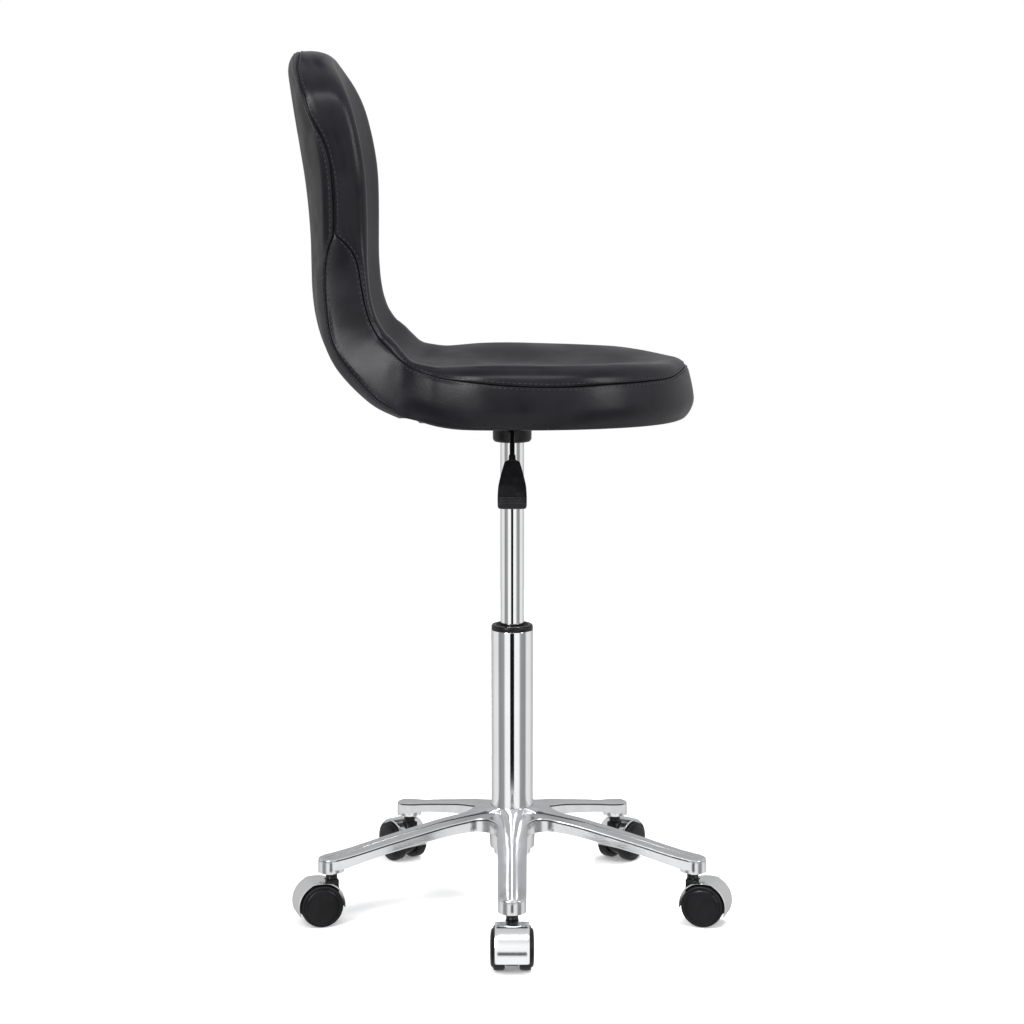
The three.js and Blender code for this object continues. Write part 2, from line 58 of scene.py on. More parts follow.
def surface(name, c1, c2, rough, metallic=0.0, scale=60.0, stretch=(1, 1, 1), bumps=(), coat=0.0, coat_rough=0.1, spec=0.5,
            sheen=0.0, contrast=(0.35, 0.65)):
    """Colour and roughness wander with a noise; bumps is a list of (kind, scale, distance in metres, strength)."""
    m, N, L, b = new_mat(name)
    tc = N.new("ShaderNodeTexCoord")
    mp = N.new("ShaderNodeMapping")
    mp.inputs["Scale"].default_value = stretch
    L.new(tc.outputs["Object"], mp.inputs["Vector"])
    nz = N.new("ShaderNodeTexNoise")
    nz.inputs["Scale"].default_value = scale
    nz.inputs["Detail"].default_value = 4.0
    L.new(mp.outputs["Vector"], nz.inputs["Vector"])
    cr = N.new("ShaderNodeValToRGB")
    cr.color_ramp.elements[0].position, cr.color_ramp.elements[1].position = contrast
    cr.color_ramp.elements[0].color = (*c1, 1)
    cr.color_ramp.elements[1].color = (*c2, 1)
    L.new(nz.outputs["Fac"], cr.inputs["Fac"])
    L.new(cr.outputs["Color"], b.inputs["Base Color"])
    mr = N.new("ShaderNodeMapRange")
    mr.inputs["From Min"].default_value, mr.inputs["From Max"].default_value = contrast
    mr.inputs["To Min"].default_value, mr.inputs["To Max"].default_value = rough
    L.new(nz.outputs["Fac"], mr.inputs["Value"])
    L.new(mr.outputs["Result"], b.inputs["Roughness"])
    b.inputs["Metallic"].default_value = metallic
    b.inputs["Specular IOR Level"].default_value = spec
    b.inputs["Coat Weight"].default_value = coat
    b.inputs["Coat Roughness"].default_value = coat_rough
    if sheen:
        b.inputs["Sheen Weight"].default_value = sheen
        b.inputs["Sheen Roughness"].default_value = 0.5
    last = None
    for kind, sc, dist, strength in bumps:
        if kind == "cells":
            t = N.new("ShaderNodeTexVoronoi")
            t.feature = "SMOOTH_F1"
            t.inputs["Scale"].default_value = sc
            out = t.outputs["Distance"]
        elif kind == "wave":
            t = N.new("ShaderNodeTexWave")
            t.inputs["Scale"].default_value = sc
            t.inputs["Distortion"].default_value = 0.3
            out = t.outputs["Fac"]
        else:
            t = N.new("ShaderNodeTexNoise")
            t.inputs["Scale"].default_value = sc
            t.inputs["Detail"].default_value = 6.0
            out = t.outputs["Fac"]
        L.new(mp.outputs["Vector"], t.inputs["Vector"])
        bp = N.new("ShaderNodeBump")
        bp.inputs["Distance"].default_value = dist
        bp.inputs["Strength"].default_value = strength
        L.new(out, bp.inputs["Height"])
        if last:
            L.new(last.outputs["Normal"], bp.inputs["Normal"])
        last = bp
    if last:
        L.new(last.outputs["Normal"], b.inputs["Normal"])
    return m


LEATHER = surface("leatherette", (0.0034, 0.0034, 0.0050), (0.0056, 0.0056, 0.0078), (0.29, 0.37), scale=26, spec=0.21,
                  bumps=[("cells", 620, 0.00022, 0.28), ("noise", 1500, 0.00012, 0.25), ("noise", 55, 0.0006, 0.12)])
REAR = surface("rear_leatherette", (0.0026, 0.0026, 0.0034), (0.0044, 0.0044, 0.0056), (0.36, 0.45), scale=30, spec=0.14,
               bumps=[("cells", 620, 0.00022, 0.5), ("noise", 1500, 0.00012, 0.4)])
GROOVE = surface("seam_shadow", (0.001, 0.001, 0.0012), (0.002, 0.002, 0.0024), (0.6, 0.75), scale=200, spec=0.05,
                 bumps=[("noise", 1800, 0.0001, 0.4)])
THREAD = surface("stitch_thread", (0.006, 0.006, 0.0075), (0.02, 0.02, 0.024), (0.3, 0.42), scale=900, spec=0.4,
                 bumps=[("wave", 900, 0.00008, 0.6)])
CHROME = surface("chrome", (0.84, 0.845, 0.855), (0.90, 0.905, 0.91), (0.035, 0.075), metallic=1.0, scale=14,
                 bumps=[("noise", 30, 0.0002, 0.03)])
HOOD = surface("chrome_hood", (0.84, 0.845, 0.855), (0.90, 0.905, 0.91), (0.15, 0.19), metallic=1.0, scale=14,
               bumps=[("noise", 30, 0.0002, 0.03)])
TUBE = surface("chrome_tube", (0.86, 0.865, 0.87), (0.92, 0.92, 0.925), (0.03, 0.06), metallic=1.0, scale=14,
               bumps=[("noise", 30, 0.0002, 0.025)])
CAST = surface("cast_aluminium_satin", (0.69, 0.695, 0.71), (0.73, 0.735, 0.745), (0.19, 0.23), metallic=1.0, scale=55,
               bumps=[("noise", 420, 0.00006, 0.08)])
CAST_SIDE = surface("cast_aluminium_polished", (0.74, 0.745, 0.755), (0.82, 0.825, 0.83), (0.16, 0.24), metallic=1.0, scale=40,
                    bumps=[("noise", 300, 0.00005, 0.25)])
CAST_RAW = surface("cast_aluminium_raw", (0.36, 0.36, 0.37), (0.5, 0.5, 0.51), (0.5, 0.68), metallic=1.0, scale=160,
                   bumps=[("noise", 900, 0.0003, 0.5)])
BLACK = surface("moulded_black_plastic", (0.004, 0.004, 0.0045), (0.007, 0.007, 0.0078), (0.26, 0.36), scale=90, spec=0.22,
                bumps=[("noise", 900, 0.00008, 0.35)])
CAP = surface("caster_cap_plastic", (0.0035, 0.0035, 0.004), (0.006, 0.006, 0.0068), (0.2, 0.27), scale=60, spec=0.16, coat=0.0,
              coat_rough=0.12, bumps=[("noise", 600, 0.00005, 0.25)])
TREAD = surface("caster_tread", (0.004, 0.004, 0.0045), (0.008, 0.008, 0.009), (0.35, 0.5), scale=120, spec=0.2,
                bumps=[("noise", 1200, 0.00012, 0.5)])
PADDLE = surface("lever_plastic", (0.005, 0.005, 0.006), (0.0085, 0.0085, 0.0098), (0.36, 0.46), scale=120, spec=0.16,
                 bumps=[("noise", 1400, 0.00014, 0.6)])
DARK = surface("dark_steel", (0.012, 0.012, 0.013), (0.022, 0.022, 0.024), (0.3, 0.42), metallic=0.6, scale=120, spec=0.3,
               bumps=[("noise", 500, 0.00006, 0.3)])
BRIGHT = surface("bright_steel", (0.6, 0.6, 0.61), (0.72, 0.72, 0.73), (0.2, 0.3), metallic=1.0, scale=120,
                 bumps=[("wave", 700, 0.00005, 0.3)])
PLY = surface("plywood_shell", (0.36, 0.22, 0.11), (0.5, 0.33, 0.18), (0.55, 0.7), scale=18, stretch=(1, 6, 6),
              bumps=[("noise", 240, 0.0002, 0.4)])
FOAM = surface("foam", (0.62, 0.56, 0.33), (0.72, 0.66, 0.42), (0.85, 0.95), scale=300,
               bumps=[("cells", 900, 0.0006, 0.8)])
SLOT_MATS = {
    "cast_aluminium": CAST, "chrome": CHROME, "dark_steel": DARK, "black_plastic": BLACK, "lever_plastic": PADDLE,
    "bright_steel": BRIGHT, "leatherette": LEATHER, "rear_leatherette": REAR, "plywood": PLY, "foam": FOAM, "rubber": TREAD,
}


# ------------------------------------------------------------------ mesh helpers
def make(name, verts, faces, mats, body, slot, replaces=(), index=None, sharp=32, about_column=True, recalc=True):
    v = np.array(verts, float)
    if about_column:
        v = v + np.array([0, AXIS_Y, 0])
    me = bpy.data.meshes.new(name)
    me.from_pydata((v * 0.001).tolist(), [], [tuple(f) for f in faces])
    for m in mats if isinstance(mats, (list, tuple)) else [mats]:
        me.materials.append(m)
    if index is not None:
        me.polygons.foreach_set("material_index", np.asarray(index, np.int32))
    bm = bmesh.new()
    bm.from_mesh(me)
    bmesh.ops.remove_doubles(bm, verts=bm.verts, dist=2e-6)
    if recalc:
        bmesh.ops.recalc_face_normals(bm, faces=bm.faces)
    bm.to_mesh(me)
    bm.free()
    return finish_piece(me, name, body, slot, replaces, sharp)


def finish_piece(me, name, body, slot, replaces=(), sharp=32):
    me.shade_smooth()
    me.set_sharp_from_angle(angle=radians(sharp))
    ob = bpy.data.objects.new(name, me)
    scene.collection.objects.link(ob)
    if body:
        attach(ob, body)
        if replaces:
            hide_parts(*replaces)
    return ob


def cut(ob, cutter):
    """ob minus cutter, applied."""
    md = ob.modifiers.new("cut", "BOOLEAN")
    md.operation, md.object, md.solver = "DIFFERENCE", cutter, "EXACT"
    dg = bpy.context.evaluated_depsgraph_get()
    me = bpy.data.meshes.new_from_object(ob.evaluated_get(dg))
    ob.modifiers.remove(md)
    ob.data = me
    old = cutter.data
    bpy.data.objects.remove(cutter)
    bpy.data.meshes.remove(old)
    me.shade_smooth()
    me.set_sharp_from_angle(angle=radians(32))
    return ob


def fillet(pts, n=4, closed=True):
    """Corner (x, z, c) of a polygon is rounded, cut back by c along both sides."""
    out, m = [], len(pts)
    for i, p in enumerate(pts):
        c = p[2] if len(p) > 2 else 0
        if c <= 0 or (not closed and i in (0, m - 1)):
            out.append((p[0], p[1]))
            continue
        a, b, d = (np.array(q[:2], float) for q in (pts[i - 1], p, pts[(i + 1) % m]))
        u, w = a - b, d - b
        lu, lw = np.linalg.norm(u), np.linalg.norm(w)
        k1, k2 = min(c, 0.48 * lu) / lu, min(c, 0.48 * lw) / lw
        for t in np.linspace(0, 1, n + 1):
            out.append(tuple((1 - t) ** 2 * (b + u * k1) + 2 * t * (1 - t) * b + t * t * (b + w * k2)))
    return out


def lathe(profile, seg=96):
    n = len(profile)
    v, f = [], []
    for k in range(seg):
        c, s = cos(2 * pi * k / seg), sin(2 * pi * k / seg)
        v += [(r * c, r * s, z) for r, z in profile]
        k2 = (k + 1) % seg
        f += [(k * n + i, k2 * n + i, k2 * n + (i + 1) % n, k * n + (i + 1) % n) for i in range(n)]
    return np.array(v, float), f


def skin(rings, close_ends=True):
    """Faces between rings of equal length; the ends are capped with one face each."""
    n, m = len(rings[0]), len(rings)
    v = [p for r in rings for p in r]
    f = [(a * n + i, a * n + (i + 1) % n, (a + 1) * n + (i + 1) % n, (a + 1) * n + i) for a in range(m - 1) for i in range(n)]
    if close_ends:
        f += [tuple(range(n))[::-1], tuple((m - 1) * n + i for i in range(n))]
    return np.array(v, float), f


def join(*parts):
    vs, fs, k = [], [], 0
    for v, f in parts:
        vs.append(np.asarray(v, float))
        fs += [tuple(i + k for i in q) for q in f]
        k += len(v)
    return np.vstack(vs), fs


def box_mesh(x0, x1, y0, y1, z0, z1):
    v = [(x, y, z) for z in (z0, z1) for y in (y0, y1) for x in (x0, x1)]
    f = [(0, 2, 3, 1), (4, 5, 7, 6), (0, 1, 5, 4), (2, 6, 7, 3), (0, 4, 6, 2), (1, 3, 7, 5)]
    return np.array(v, float), f


def cutter(parts, about_column=True):
    v, f = join(*parts)
    v = v + (np.array([0, AXIS_Y, 0]) if about_column else 0)
    me = bpy.data.meshes.new("cutter")
    me.from_pydata((v * 0.001).tolist(), [], f)
    bm = bmesh.new()
    bm.from_mesh(me)
    bmesh.ops.remove_doubles(bm, verts=bm.verts, dist=2e-6)
    bmesh.ops.recalc_face_normals(bm, faces=bm.faces)
    bm.to_mesh(me)
    bm.free()
    ob = bpy.data.objects.new("cutter", me)
    scene.collection.objects.link(ob)
    return ob


def smooth(a, b, x):
    t = np.clip((x - a) / (b - a), 0, 1)
    return t * t * (3 - 2 * t)


def mix(a, b, t):
    return a + (b - a) * t


def spline(points, n, alpha=0.5):
    """n points evenly spread along a centripetal Catmull-Rom curve through points."""
    P = [np.array(p, float) for p in points]
    P = [2 * P[0] - P[1]] + P + [2 * P[-1] - P[-2]]
    out = []
    for i in range(1, len(P) - 2):
        p0, p1, p2, p3 = P[i - 1:i + 3]
        t0 = 0
        t1 = t0 + max(1e-6, np.linalg.norm(p1 - p0)) ** alpha
        t2 = t1 + max(1e-6, np.linalg.norm(p2 - p1)) ** alpha
        t3 = t2 + max(1e-6, np.linalg.norm(p3 - p2)) ** alpha
        for t in np.linspace(t1, t2, 24, endpoint=False):
            a1 = (t1 - t) / (t1 - t0) * p0 + (t - t0) / (t1 - t0) * p1
            a2 = (t2 - t) / (t2 - t1) * p1 + (t - t1) / (t2 - t1) * p2
            a3 = (t3 - t) / (t3 - t2) * p2 + (t - t2) / (t3 - t2) * p3
            b1 = (t2 - t) / (t2 - t0) * a1 + (t - t0) / (t2 - t0) * a2
            b2 = (t3 - t) / (t3 - t1) * a2 + (t - t1) / (t3 - t1) * a3
            out.append((t2 - t) / (t2 - t1) * b1 + (t - t1) / (t2 - t1) * b2)
    out.append(P[-2])
    out = np.array(out)
    s = np.r_[0, np.cumsum(np.linalg.norm(np.diff(out, axis=0), axis=1))]
    q = np.linspace(0, s[-1], n)
    return np.stack([np.interp(q, s, out[:, k]) for k in range(out.shape[1])], 1)


# ------------------------------------------------------------------ camera and studio
cam = bpy.data.objects.new("camera", bpy.data.cameras.new("camera"))
scene.collection.objects.link(cam)
cam.location = (-0.0002, -2.75288, 0.87709)
cam.rotation_euler = (radians(90 - 8.19), 0, 0)
cam.data.lens, cam.data.sensor_width = 83.459, 36
cam.data.clip_start, cam.data.clip_end = 0.05, 60
scene.camera = cam
scene.view_settings.view_transform = "Standard"
scene.view_settings.look = "None"


def studio():
    w = bpy.data.worlds.new("studio")
    scene.world = w
    w.use_nodes = True
    N, L = w.node_tree.nodes, w.node_tree.links
    N.clear()

    def math(op, a, b=None, c=None):
        n = N.new("ShaderNodeMath")
        n.operation = op
        for i, v in enumerate((a, b, c)):
            if v is None:
                continue
            if isinstance(v, (int, float)):
                n.inputs[i].default_value = v
            else:
                L.new(v, n.inputs[i])
        return n.outputs[0]

    tc = N.new("ShaderNodeTexCoord")
    sep = N.new("ShaderNodeSeparateXYZ")
    L.new(tc.outputs["Generated"], sep.inputs[0])
    X, Y, Z = sep.outputs
    # bearing of the direction from straight in front (-Y), 0 to 1 for 0 to 180 degrees
    ang = math("DIVIDE", math("ABSOLUTE", math("ARCTAN2", X, math("MULTIPLY", Y, -1))), pi)
    ramp = N.new("ShaderNodeValToRGB")
    cr = ramp.color_ramp
    stops = [(0, 1.1), (37, 1.06), (47, .36), (74, .30), (86, .92), (112, .9), (132, .62), (180, .52)]
    while len(cr.elements) < len(stops):
        cr.elements.new(0.5)
    for e, (deg, val) in zip(cr.elements, stops):
        e.position = deg / 180
        e.color = (val, val, val * 1.005, 1)
    L.new(ang, ramp.inputs["Fac"])
    # a dark flag straight in front at low angles, and its twin high behind: the black line down the polished parts
    def band(value, a, b, c, d):
        n1 = N.new("ShaderNodeMapRange")
        n1.interpolation_type = "SMOOTHSTEP"
        n1.inputs["From Min"].default_value, n1.inputs["From Max"].default_value = a, b
        L.new(value, n1.inputs["Value"])
        n2 = N.new("ShaderNodeMapRange")
        n2.interpolation_type = "SMOOTHSTEP"
        n2.inputs["From Min"].default_value, n2.inputs["From Max"].default_value = d, c
        L.new(value, n2.inputs["Value"])
        return math("MULTIPLY", n1.outputs["Result"], n2.outputs["Result"])

    flag = math("MAXIMUM", math("MULTIPLY", band(ang, -1.0, -0.5, 9.8 / 180, 12.6 / 180), band(Z, -0.335, -0.29, -0.06, -0.02)),
                math("MULTIPLY", band(ang, 172.0 / 180, 175.5 / 180, 1.5, 2.0), band(Z, 0.42, 0.5, 0.74, 0.8)))
    # overhead the stripes give way to an even soft box
    up = N.new("ShaderNodeMapRange")
    up.interpolation_type = "SMOOTHSTEP"
    up.inputs["From Min"].default_value, up.inputs["From Max"].default_value = 0.45, 0.8
    L.new(Z, up.inputs["Value"])
    mixn = N.new("ShaderNodeMix")
    mixn.data_type = "RGBA"
    L.new(up.outputs["Result"], mixn.inputs["Factor"])
    L.new(ramp.outputs["Color"], mixn.inputs["A"])
    mixn.inputs["B"].default_value = (0.66, 0.665, 0.68, 1)
    lit = N.new("ShaderNodeBackground")
    dark = N.new("ShaderNodeMix")
    dark.data_type = "RGBA"
    L.new(flag, dark.inputs["Factor"])
    L.new(mixn.outputs["Result"], dark.inputs["A"])
    dark.inputs["B"].default_value = (0.008, 0.008, 0.009, 1)
    L.new(dark.outputs["Result"], lit.inputs["Color"])
    lit.inputs["Strength"].default_value = 0.95
    white = N.new("ShaderNodeBackground")
    white.inputs["Color"].default_value = (1, 1, 1, 1)
    white.inputs["Strength"].default_value = 1.0
    lp = N.new("ShaderNodeLightPath")
    mx = N.new("ShaderNodeMixShader")
    L.new(lp.outputs["Is Camera Ray"], mx.inputs["Fac"])
    L.new(lit.outputs[0], mx.inputs[1])
    L.new(white.outputs[0], mx.inputs[2])
    out = N.new("ShaderNodeOutputWorld")
    L.new(mx.outputs[0], out.inputs["Surface"])

    def area(name, loc, target, size, power, colour=(1, 1, 1)):
        d = bpy.data.lights.new(name, "AREA")
        d.shape, d.size, d.size_y, d.energy, d.color = "RECTANGLE", size[0], size[1], power, colour
        o = bpy.data.objects.new(name, d)
        scene.collection.objects.link(o)
        o.location = loc
        o.rotation_euler = (Vector(target) - Vector(loc)).to_track_quat("-Z", "Y").to_euler()
        return o

    area("softbox_left", (-1.35, -1.9, 1.75), (0, 0, 0.75), (0.85, 1.9), 60)
    area("softbox_top", (0.7, 0.3, 2.5), (0, 0, 0.6), (1.3, 0.9), 55).visible_glossy = False  # no hot streaks on the legs
    area("softbox_front", (0.3, -1.25, 2.3), (0, 0, 0.62), (1.4, 0.5), 15)
    area("softbox_right", (2.1, -1.3, 1.3), (0, 0, 0.7), (0.5, 1.6), 26)

    # pale floor: a round mat that melts into the white around it
    seg, rings = 96, 10
    v = [(0, 0, 0)]
    for k in range(1, rings + 1):
        v += [(2.2 * k / rings * cos(2 * pi * i / seg), 2.2 * k / rings * sin(2 * pi * i / seg), -0.0004) for i in range(seg)]
    f = [(0, 1 + i, 1 + (i + 1) % seg) for i in range(seg)]
    for k in range(rings - 1):
        a, b = 1 + k * seg, 1 + (k + 1) * seg
        f += [(a + i, b + i, b + (i + 1) % seg, a + (i + 1) % seg) for i in range(seg)]
    me = bpy.data.meshes.new("studio_floor")
    me.from_pydata([(x, y, -0.0004) for x, y, z in v], [], f)
    m, N2, L2, b2 = new_mat("floor_paper")
    tc2 = N2.new("ShaderNodeTexCoord")
    nz = N2.new("ShaderNodeTexNoise")
    nz.inputs["Scale"].default_value = 6
    L2.new(tc2.outputs["Object"], nz.inputs["Vector"])
    rp = N2.new("ShaderNodeValToRGB")
    rp.color_ramp.elements[0].color = (0.93, 0.93, 0.935, 1)
    rp.color_ramp.elements[1].color = (0.95, 0.95, 0.95, 1)
    L2.new(nz.outputs["Fac"], rp.inputs["Fac"])
    L2.new(rp.outputs["Color"], b2.inputs["Base Color"])
    b2.inputs["Roughness"].default_value = 0.9
    b2.inputs["Specular IOR Level"].default_value = 0.1
    b2.inputs["Emission Color"].default_value = (1, 1, 1, 1)
    b2.inputs["Emission Strength"].default_value = 0.22
    me.materials.append(m)
    fl = bpy.data.objects.new("studio_floor", me)
    scene.collection.objects.link(fl)
    fl.visible_glossy = False  # polished metal mirrors the light tent, not the paper it stands on


studio()


# ------------------------------------------------------------------ cast base
LEGS = [-90, -18, 54, 126, 198]
STEM_R, BOSS_R = 223.4, 15.5
TOP = np.array([[25.3, 119.4], [51, 115.5], [85, 110.2], [112, 104.5], [165, 92.6], [190, 86.5], [208, 82.6], [222, 80.2], [232, 78.9], [246, 77.6]])
BOT = np.array([[28, 99.9], [38, 99.6], [75, 97.2], [112, 90.8], [165, 79.6], [202, 69.6], [215, 66.4], [250, 66.4]])


def smooth_profile(P):
    q = spline(P, 400)
    return lambda r: np.interp(r, q[:, 0], q[:, 1])


top_z, bot_z = smooth_profile(TOP), smooth_profile(BOT)


def base_star():
    h = radians(36)
    cd = (17.6 + 27) / sin(h)
    fc = np.array([cd * cos(h), cd * sin(h)])  # centre of the web fillet
    ridge_u = [20.5, 25, 30, 45, 60, 90, 120, 170, 240]
    ridge_w = [14.9, 14.2, 12.6, 9.4, 7.2, 4.2, 2.9, 2.5, 2.5]
    A, B, O, Nrm = [], [], [], []  # centre line, ridge edge, outline, outline's outward normal
    n1, n2, n3 = 12, 56, 14
    for i in range(n1 + 1):
        t = i / n1
        a = h * (1 - t)
        A.append((25.3 * cos(a), 25.3 * sin(a)))
        u = mix(20.5, 31, t)
        B.append((u, np.interp(u, ridge_u, ridge_w)))
        w = mix(pi + h, 1.5 * pi, t)
        O.append(fc + 27 * np.array([cos(w), sin(w)]))
        Nrm.append(-np.array([cos(w), sin(w)]) * -1)
    # the fillet bulges toward the hub, so its outward side is toward its own centre
    Nrm = [(fc - np.array(o)) / 27 for o in O]
    u0 = O[-1][0]
    for i in range(1, n2 + 1):
        t = i / n2
        A.append((mix(25.3, STEM_R, t), 0))
        u = mix(31, STEM_R, t)
        B.append((u, np.interp(u, ridge_u, ridge_w)))
        u = mix(u0, STEM_R, t)
        O.append(np.array([u, np.interp(u, [u0, 120, STEM_R], [17.6, 16.68, BOSS_R])]))
        Nrm.append(np.array([0.012, 1.0]))
    for i in range(1, n3 + 1):
        a = pi / 2 * (1 - i / n3)
        d = np.array([cos(a), sin(a)])
        o = np.array([STEM_R, 0]) + BOSS_R * d
        A.append((STEM_R + (BOSS_R - 1.1) * cos(a), 0))
        B.append((A[-1][0], min(2.5, 0.6 * (BOSS_R - 1.1) * sin(a))))
        O.append(o)
        Nrm.append(d)
    A, B, O, Nrm = (np.array(x, float) for x in (A, B, O, Nrm))
    C = O - Nrm * 1.1

    def tongue(p, w):
        """height of the raised rib over the leg at p; w is the rib's half width there"""
        u = p[0]
        hgt = np.interp(u, [20, 26, 32, 45, 70, 110, 225, 239], [4.2, 4.6, 4.2, 3.0, 1.8, 0.9, 0.75, 0.15])
        return hgt * (1 - min(1.0, abs(p[1]) / max(w, 0.1)) ** np.interp(u, [0, 50, 100], [2, 2, 4]))

    verts, m = [], len(A)
    cols_rib, cols_flat = 6, 9
    for i in range(m):
        a, b, c, o, nn = A[i], B[i], C[i], O[i], Nrm[i]
        row = []
        half = max(np.hypot(*(o - (a if i > n1 else b))), 1e-3)
        for j in range(cols_rib + 1):
            p = mix(a, b, sin(pi / 2 * j / cols_rib))
            w = max(b[1], 0.1)
            z = top_z(np.hypot(*p)) + (tongue((p[0], abs(p[1])), w) if i > n1 else
                                       np.interp(p[0], [20, 26, 32], [4.2, 4.6, 4.2]) * (1 - (j / cols_rib) ** 2))
            row.append((*p, z))
        for j in range(1, cols_flat + 1):
            t = j / cols_flat
            p = mix(b, c, t)
            crown = (-0.75 * t - 0.35 * t * t) * (1 if i > n1 else i / n1)
            valley = -0.35 * np.exp(-((t * np.hypot(*(c - b)) / 2.0) ** 2))
            row.append((*p, top_z(np.hypot(*p)) + crown + valley))
        zc = row[-1][2]
        low = BOSS_R and (61.3 if i > n1 + n2 else max(61.3, float(bot_z(np.hypot(*o)))))
        # small dark step under the top face's edge, then the draughted side wall
        for out, dz in ((-0.35, -0.25), (0.0, -1.0), (0.0, -1.5), (-0.55, -1.9), (-0.55, -2.5), (0.05, -3.0)):
            p = o + nn * out
            row.append((*p, zc + dz))
        wall_top = zc - 3.0
        for t in (0.12, 0.35, 0.65, 0.92):
            p = o + nn * (0.05 + 0.25 * t)
            row.append((*p, mix(wall_top, low, t)))
        p = o + nn * 0.15
        row.append((*p, low + 0.05))
        p = o - nn * 0.35
        row.append((*p, low - 0.0))
        inner = o - nn * 3.2
        row.append((*inner, low))
        ceil = top_z(np.hypot(*inner)) - 3.8
        ceil = max(ceil, low + 0.5)
        row.append((*(o - nn * 3.6), mix(low, ceil, 0.5)))
        row.append((*(o - nn * 4.2), ceil - 0.8))
        a2 = a if i > n1 else a * (1.0)
        for t in (0.15, 0.5, 1.0):
            p = mix(o - nn * 5.2, np.array(a2), t)
            row.append((*p, max(low + 0.6, top_z(np.hypot(*p)) - 3.9)))
        verts.append(row)
    n = len(verts[0])
    V = np.array(verts, float).reshape(-1, 3)
    F, idx = [], []
    side_from = cols_rib + cols_flat
    for i in range(m - 1):
        for j in range(n - 1):
            F.append((i * n + j, (i + 1) * n + j, (i + 1) * n + j + 1, i * n + j + 1))
            idx.append(2 if side_from + 2 <= j < side_from + 5 else 1 if side_from + 5 <= j < side_from + 12 else 0 if j < side_from + 2 else 3)
    vs, fs, ids = [], [], []
    for ang in LEGS:
        for sgn in (1, -1):
            W = V.copy()
            W[:, 1] *= sgn
            c, s = cos(radians(ang)), sin(radians(ang))
            R = np.stack([W[:, 0] * c - W[:, 1] * s, W[:, 0] * s + W[:, 1] * c, W[:, 2]], 1)
            k = sum(len(x) for x in vs)
            vs.append(R)
            fs += [tuple(q + k for q in (f if sgn > 0 else f[::-1])) for f in F]
            ids += idx
    # bore wall of the hub joins the top face's rim to the underside
    V = np.vstack(vs)
    mats = [CAST, CAST_SIDE, EDGE_DARK, CAST_RAW]
    ob = make("base_star_casting", V, fs, mats, "base", "cast_aluminium", ("base_star",), ids, sharp=38, recalc=False)
    # hub: a turned sleeve round the column's foot, and the socket bosses under the leg tips
    hub = lathe(fillet([(25.4, 118.5), (25.4, 106), (22.3, 72.2, .6), (26.6, 72.2, 1.2), (28.0, 100.5), (31, 112), (27, 119.0)], 4), 96)
    make("base_hub_boss", *hub, CAST_SIDE, "base", "cast_aluminium")
    boss = lathe(fillet([(5.9, 61.35, .4), (14.9, 61.35, 1.0), (15.2, 64), (15.2, 77.5), (5.9, 76.6)], 4), 64)
    for k, ang in enumerate(LEGS):
        v = boss[0].copy()
        v[:, 0] += STEM_R * cos(radians(ang))
        v[:, 1] += STEM_R * sin(radians(ang))
        make(f"base_socket_boss_{k + 1}", v, boss[1], CAST_SIDE, "base", "cast_aluminium")
    return ob


EDGE_DARK = surface("edge_shadow_line", (0.05, 0.05, 0.055), (0.11, 0.11, 0.115), (0.35, 0.5), metallic=1.0, scale=90,
                    bumps=[("noise", 500, 0.0001, 0.4)])
base_star()  # built above

# ------------------------------------------------------------------ column
make("column_outer_tube", *lathe(fillet([
    (8.3, 64, .3), (21.9, 64, 1.6), (21.9, 72), (25, 106), (25, 337.5, .5), (23.4, 337.5, .3), (23.4, 108), (20.4, 74), (20.4, 66.5, .4),
    (8.3, 66.5, .4)], 5), 160), CHROME, "base", "chrome", ("column_sleeve",), sharp=40)
make("column_guide_collar", *lathe(fillet([
    (14.6, 262), (22.8, 262), (22.8, 337.9), (24.7, 337.9, .5), (24.8, 342.2, 1.2), (23.4, 343.6, .8), (19.4, 343.6, .9), (18.4, 341.0, .8),
    (16.2, 340.6, .8), (15.2, 342.0, .6), (14.6, 341.4, .3)], 4), 128), BLACK, "base", "black_plastic", ("guide_bushing",), sharp=30)
make("gas_spring_tube", *lathe(fillet([
    (5.5, 286, .3), (14, 286, 1.2), (14, 576, .8), (12.6, 578, .4), (3.5, 578), (3.5, 564), (11.7, 564), (11.7, 292), (5.5, 292)], 4), 128),
    TUBE, "seat", "chrome", ("gas_tube",), sharp=40)
make("gas_spring_piston_rod", *lathe(fillet([
    (0, 58.5), (4.6, 58.5, .5), (5, 59.9, .2), (3.6, 59.9), (3.6, 61.7), (5, 61.7), (5, 71.7), (8, 71.7, .4), (8, 74.2, .4), (5, 74.2),
    (5, 294), (4, 294), (4, 310, .6), (0, 310)], 3), 48), CHROME, "gas_rod", "chrome", ("piston_rod",), sharp=35)

# ------------------------------------------------------------------ seat plate with its release housing
cup = make("release_housing", *lathe(fillet([
    (14.7, 562.2, .5), (20.8, 562.0, 1.2), (22.8, 564.6, 1.6), (22.9, 575.6, 1.2), (23.9, 578.2, 1.2), (25.3, 580.4, 1.0), (25.6, 594.8, .4),
    (18.6, 594.8, .3), (18.6, 579.6, .6), (14.7, 579.6, .6)], 4), 128), BLACK, "seat", "dark_steel", sharp=32)
cut(cup, cutter([box_mesh(-4.8, 4.8, -40, -10, 575.2, 594.2)]))


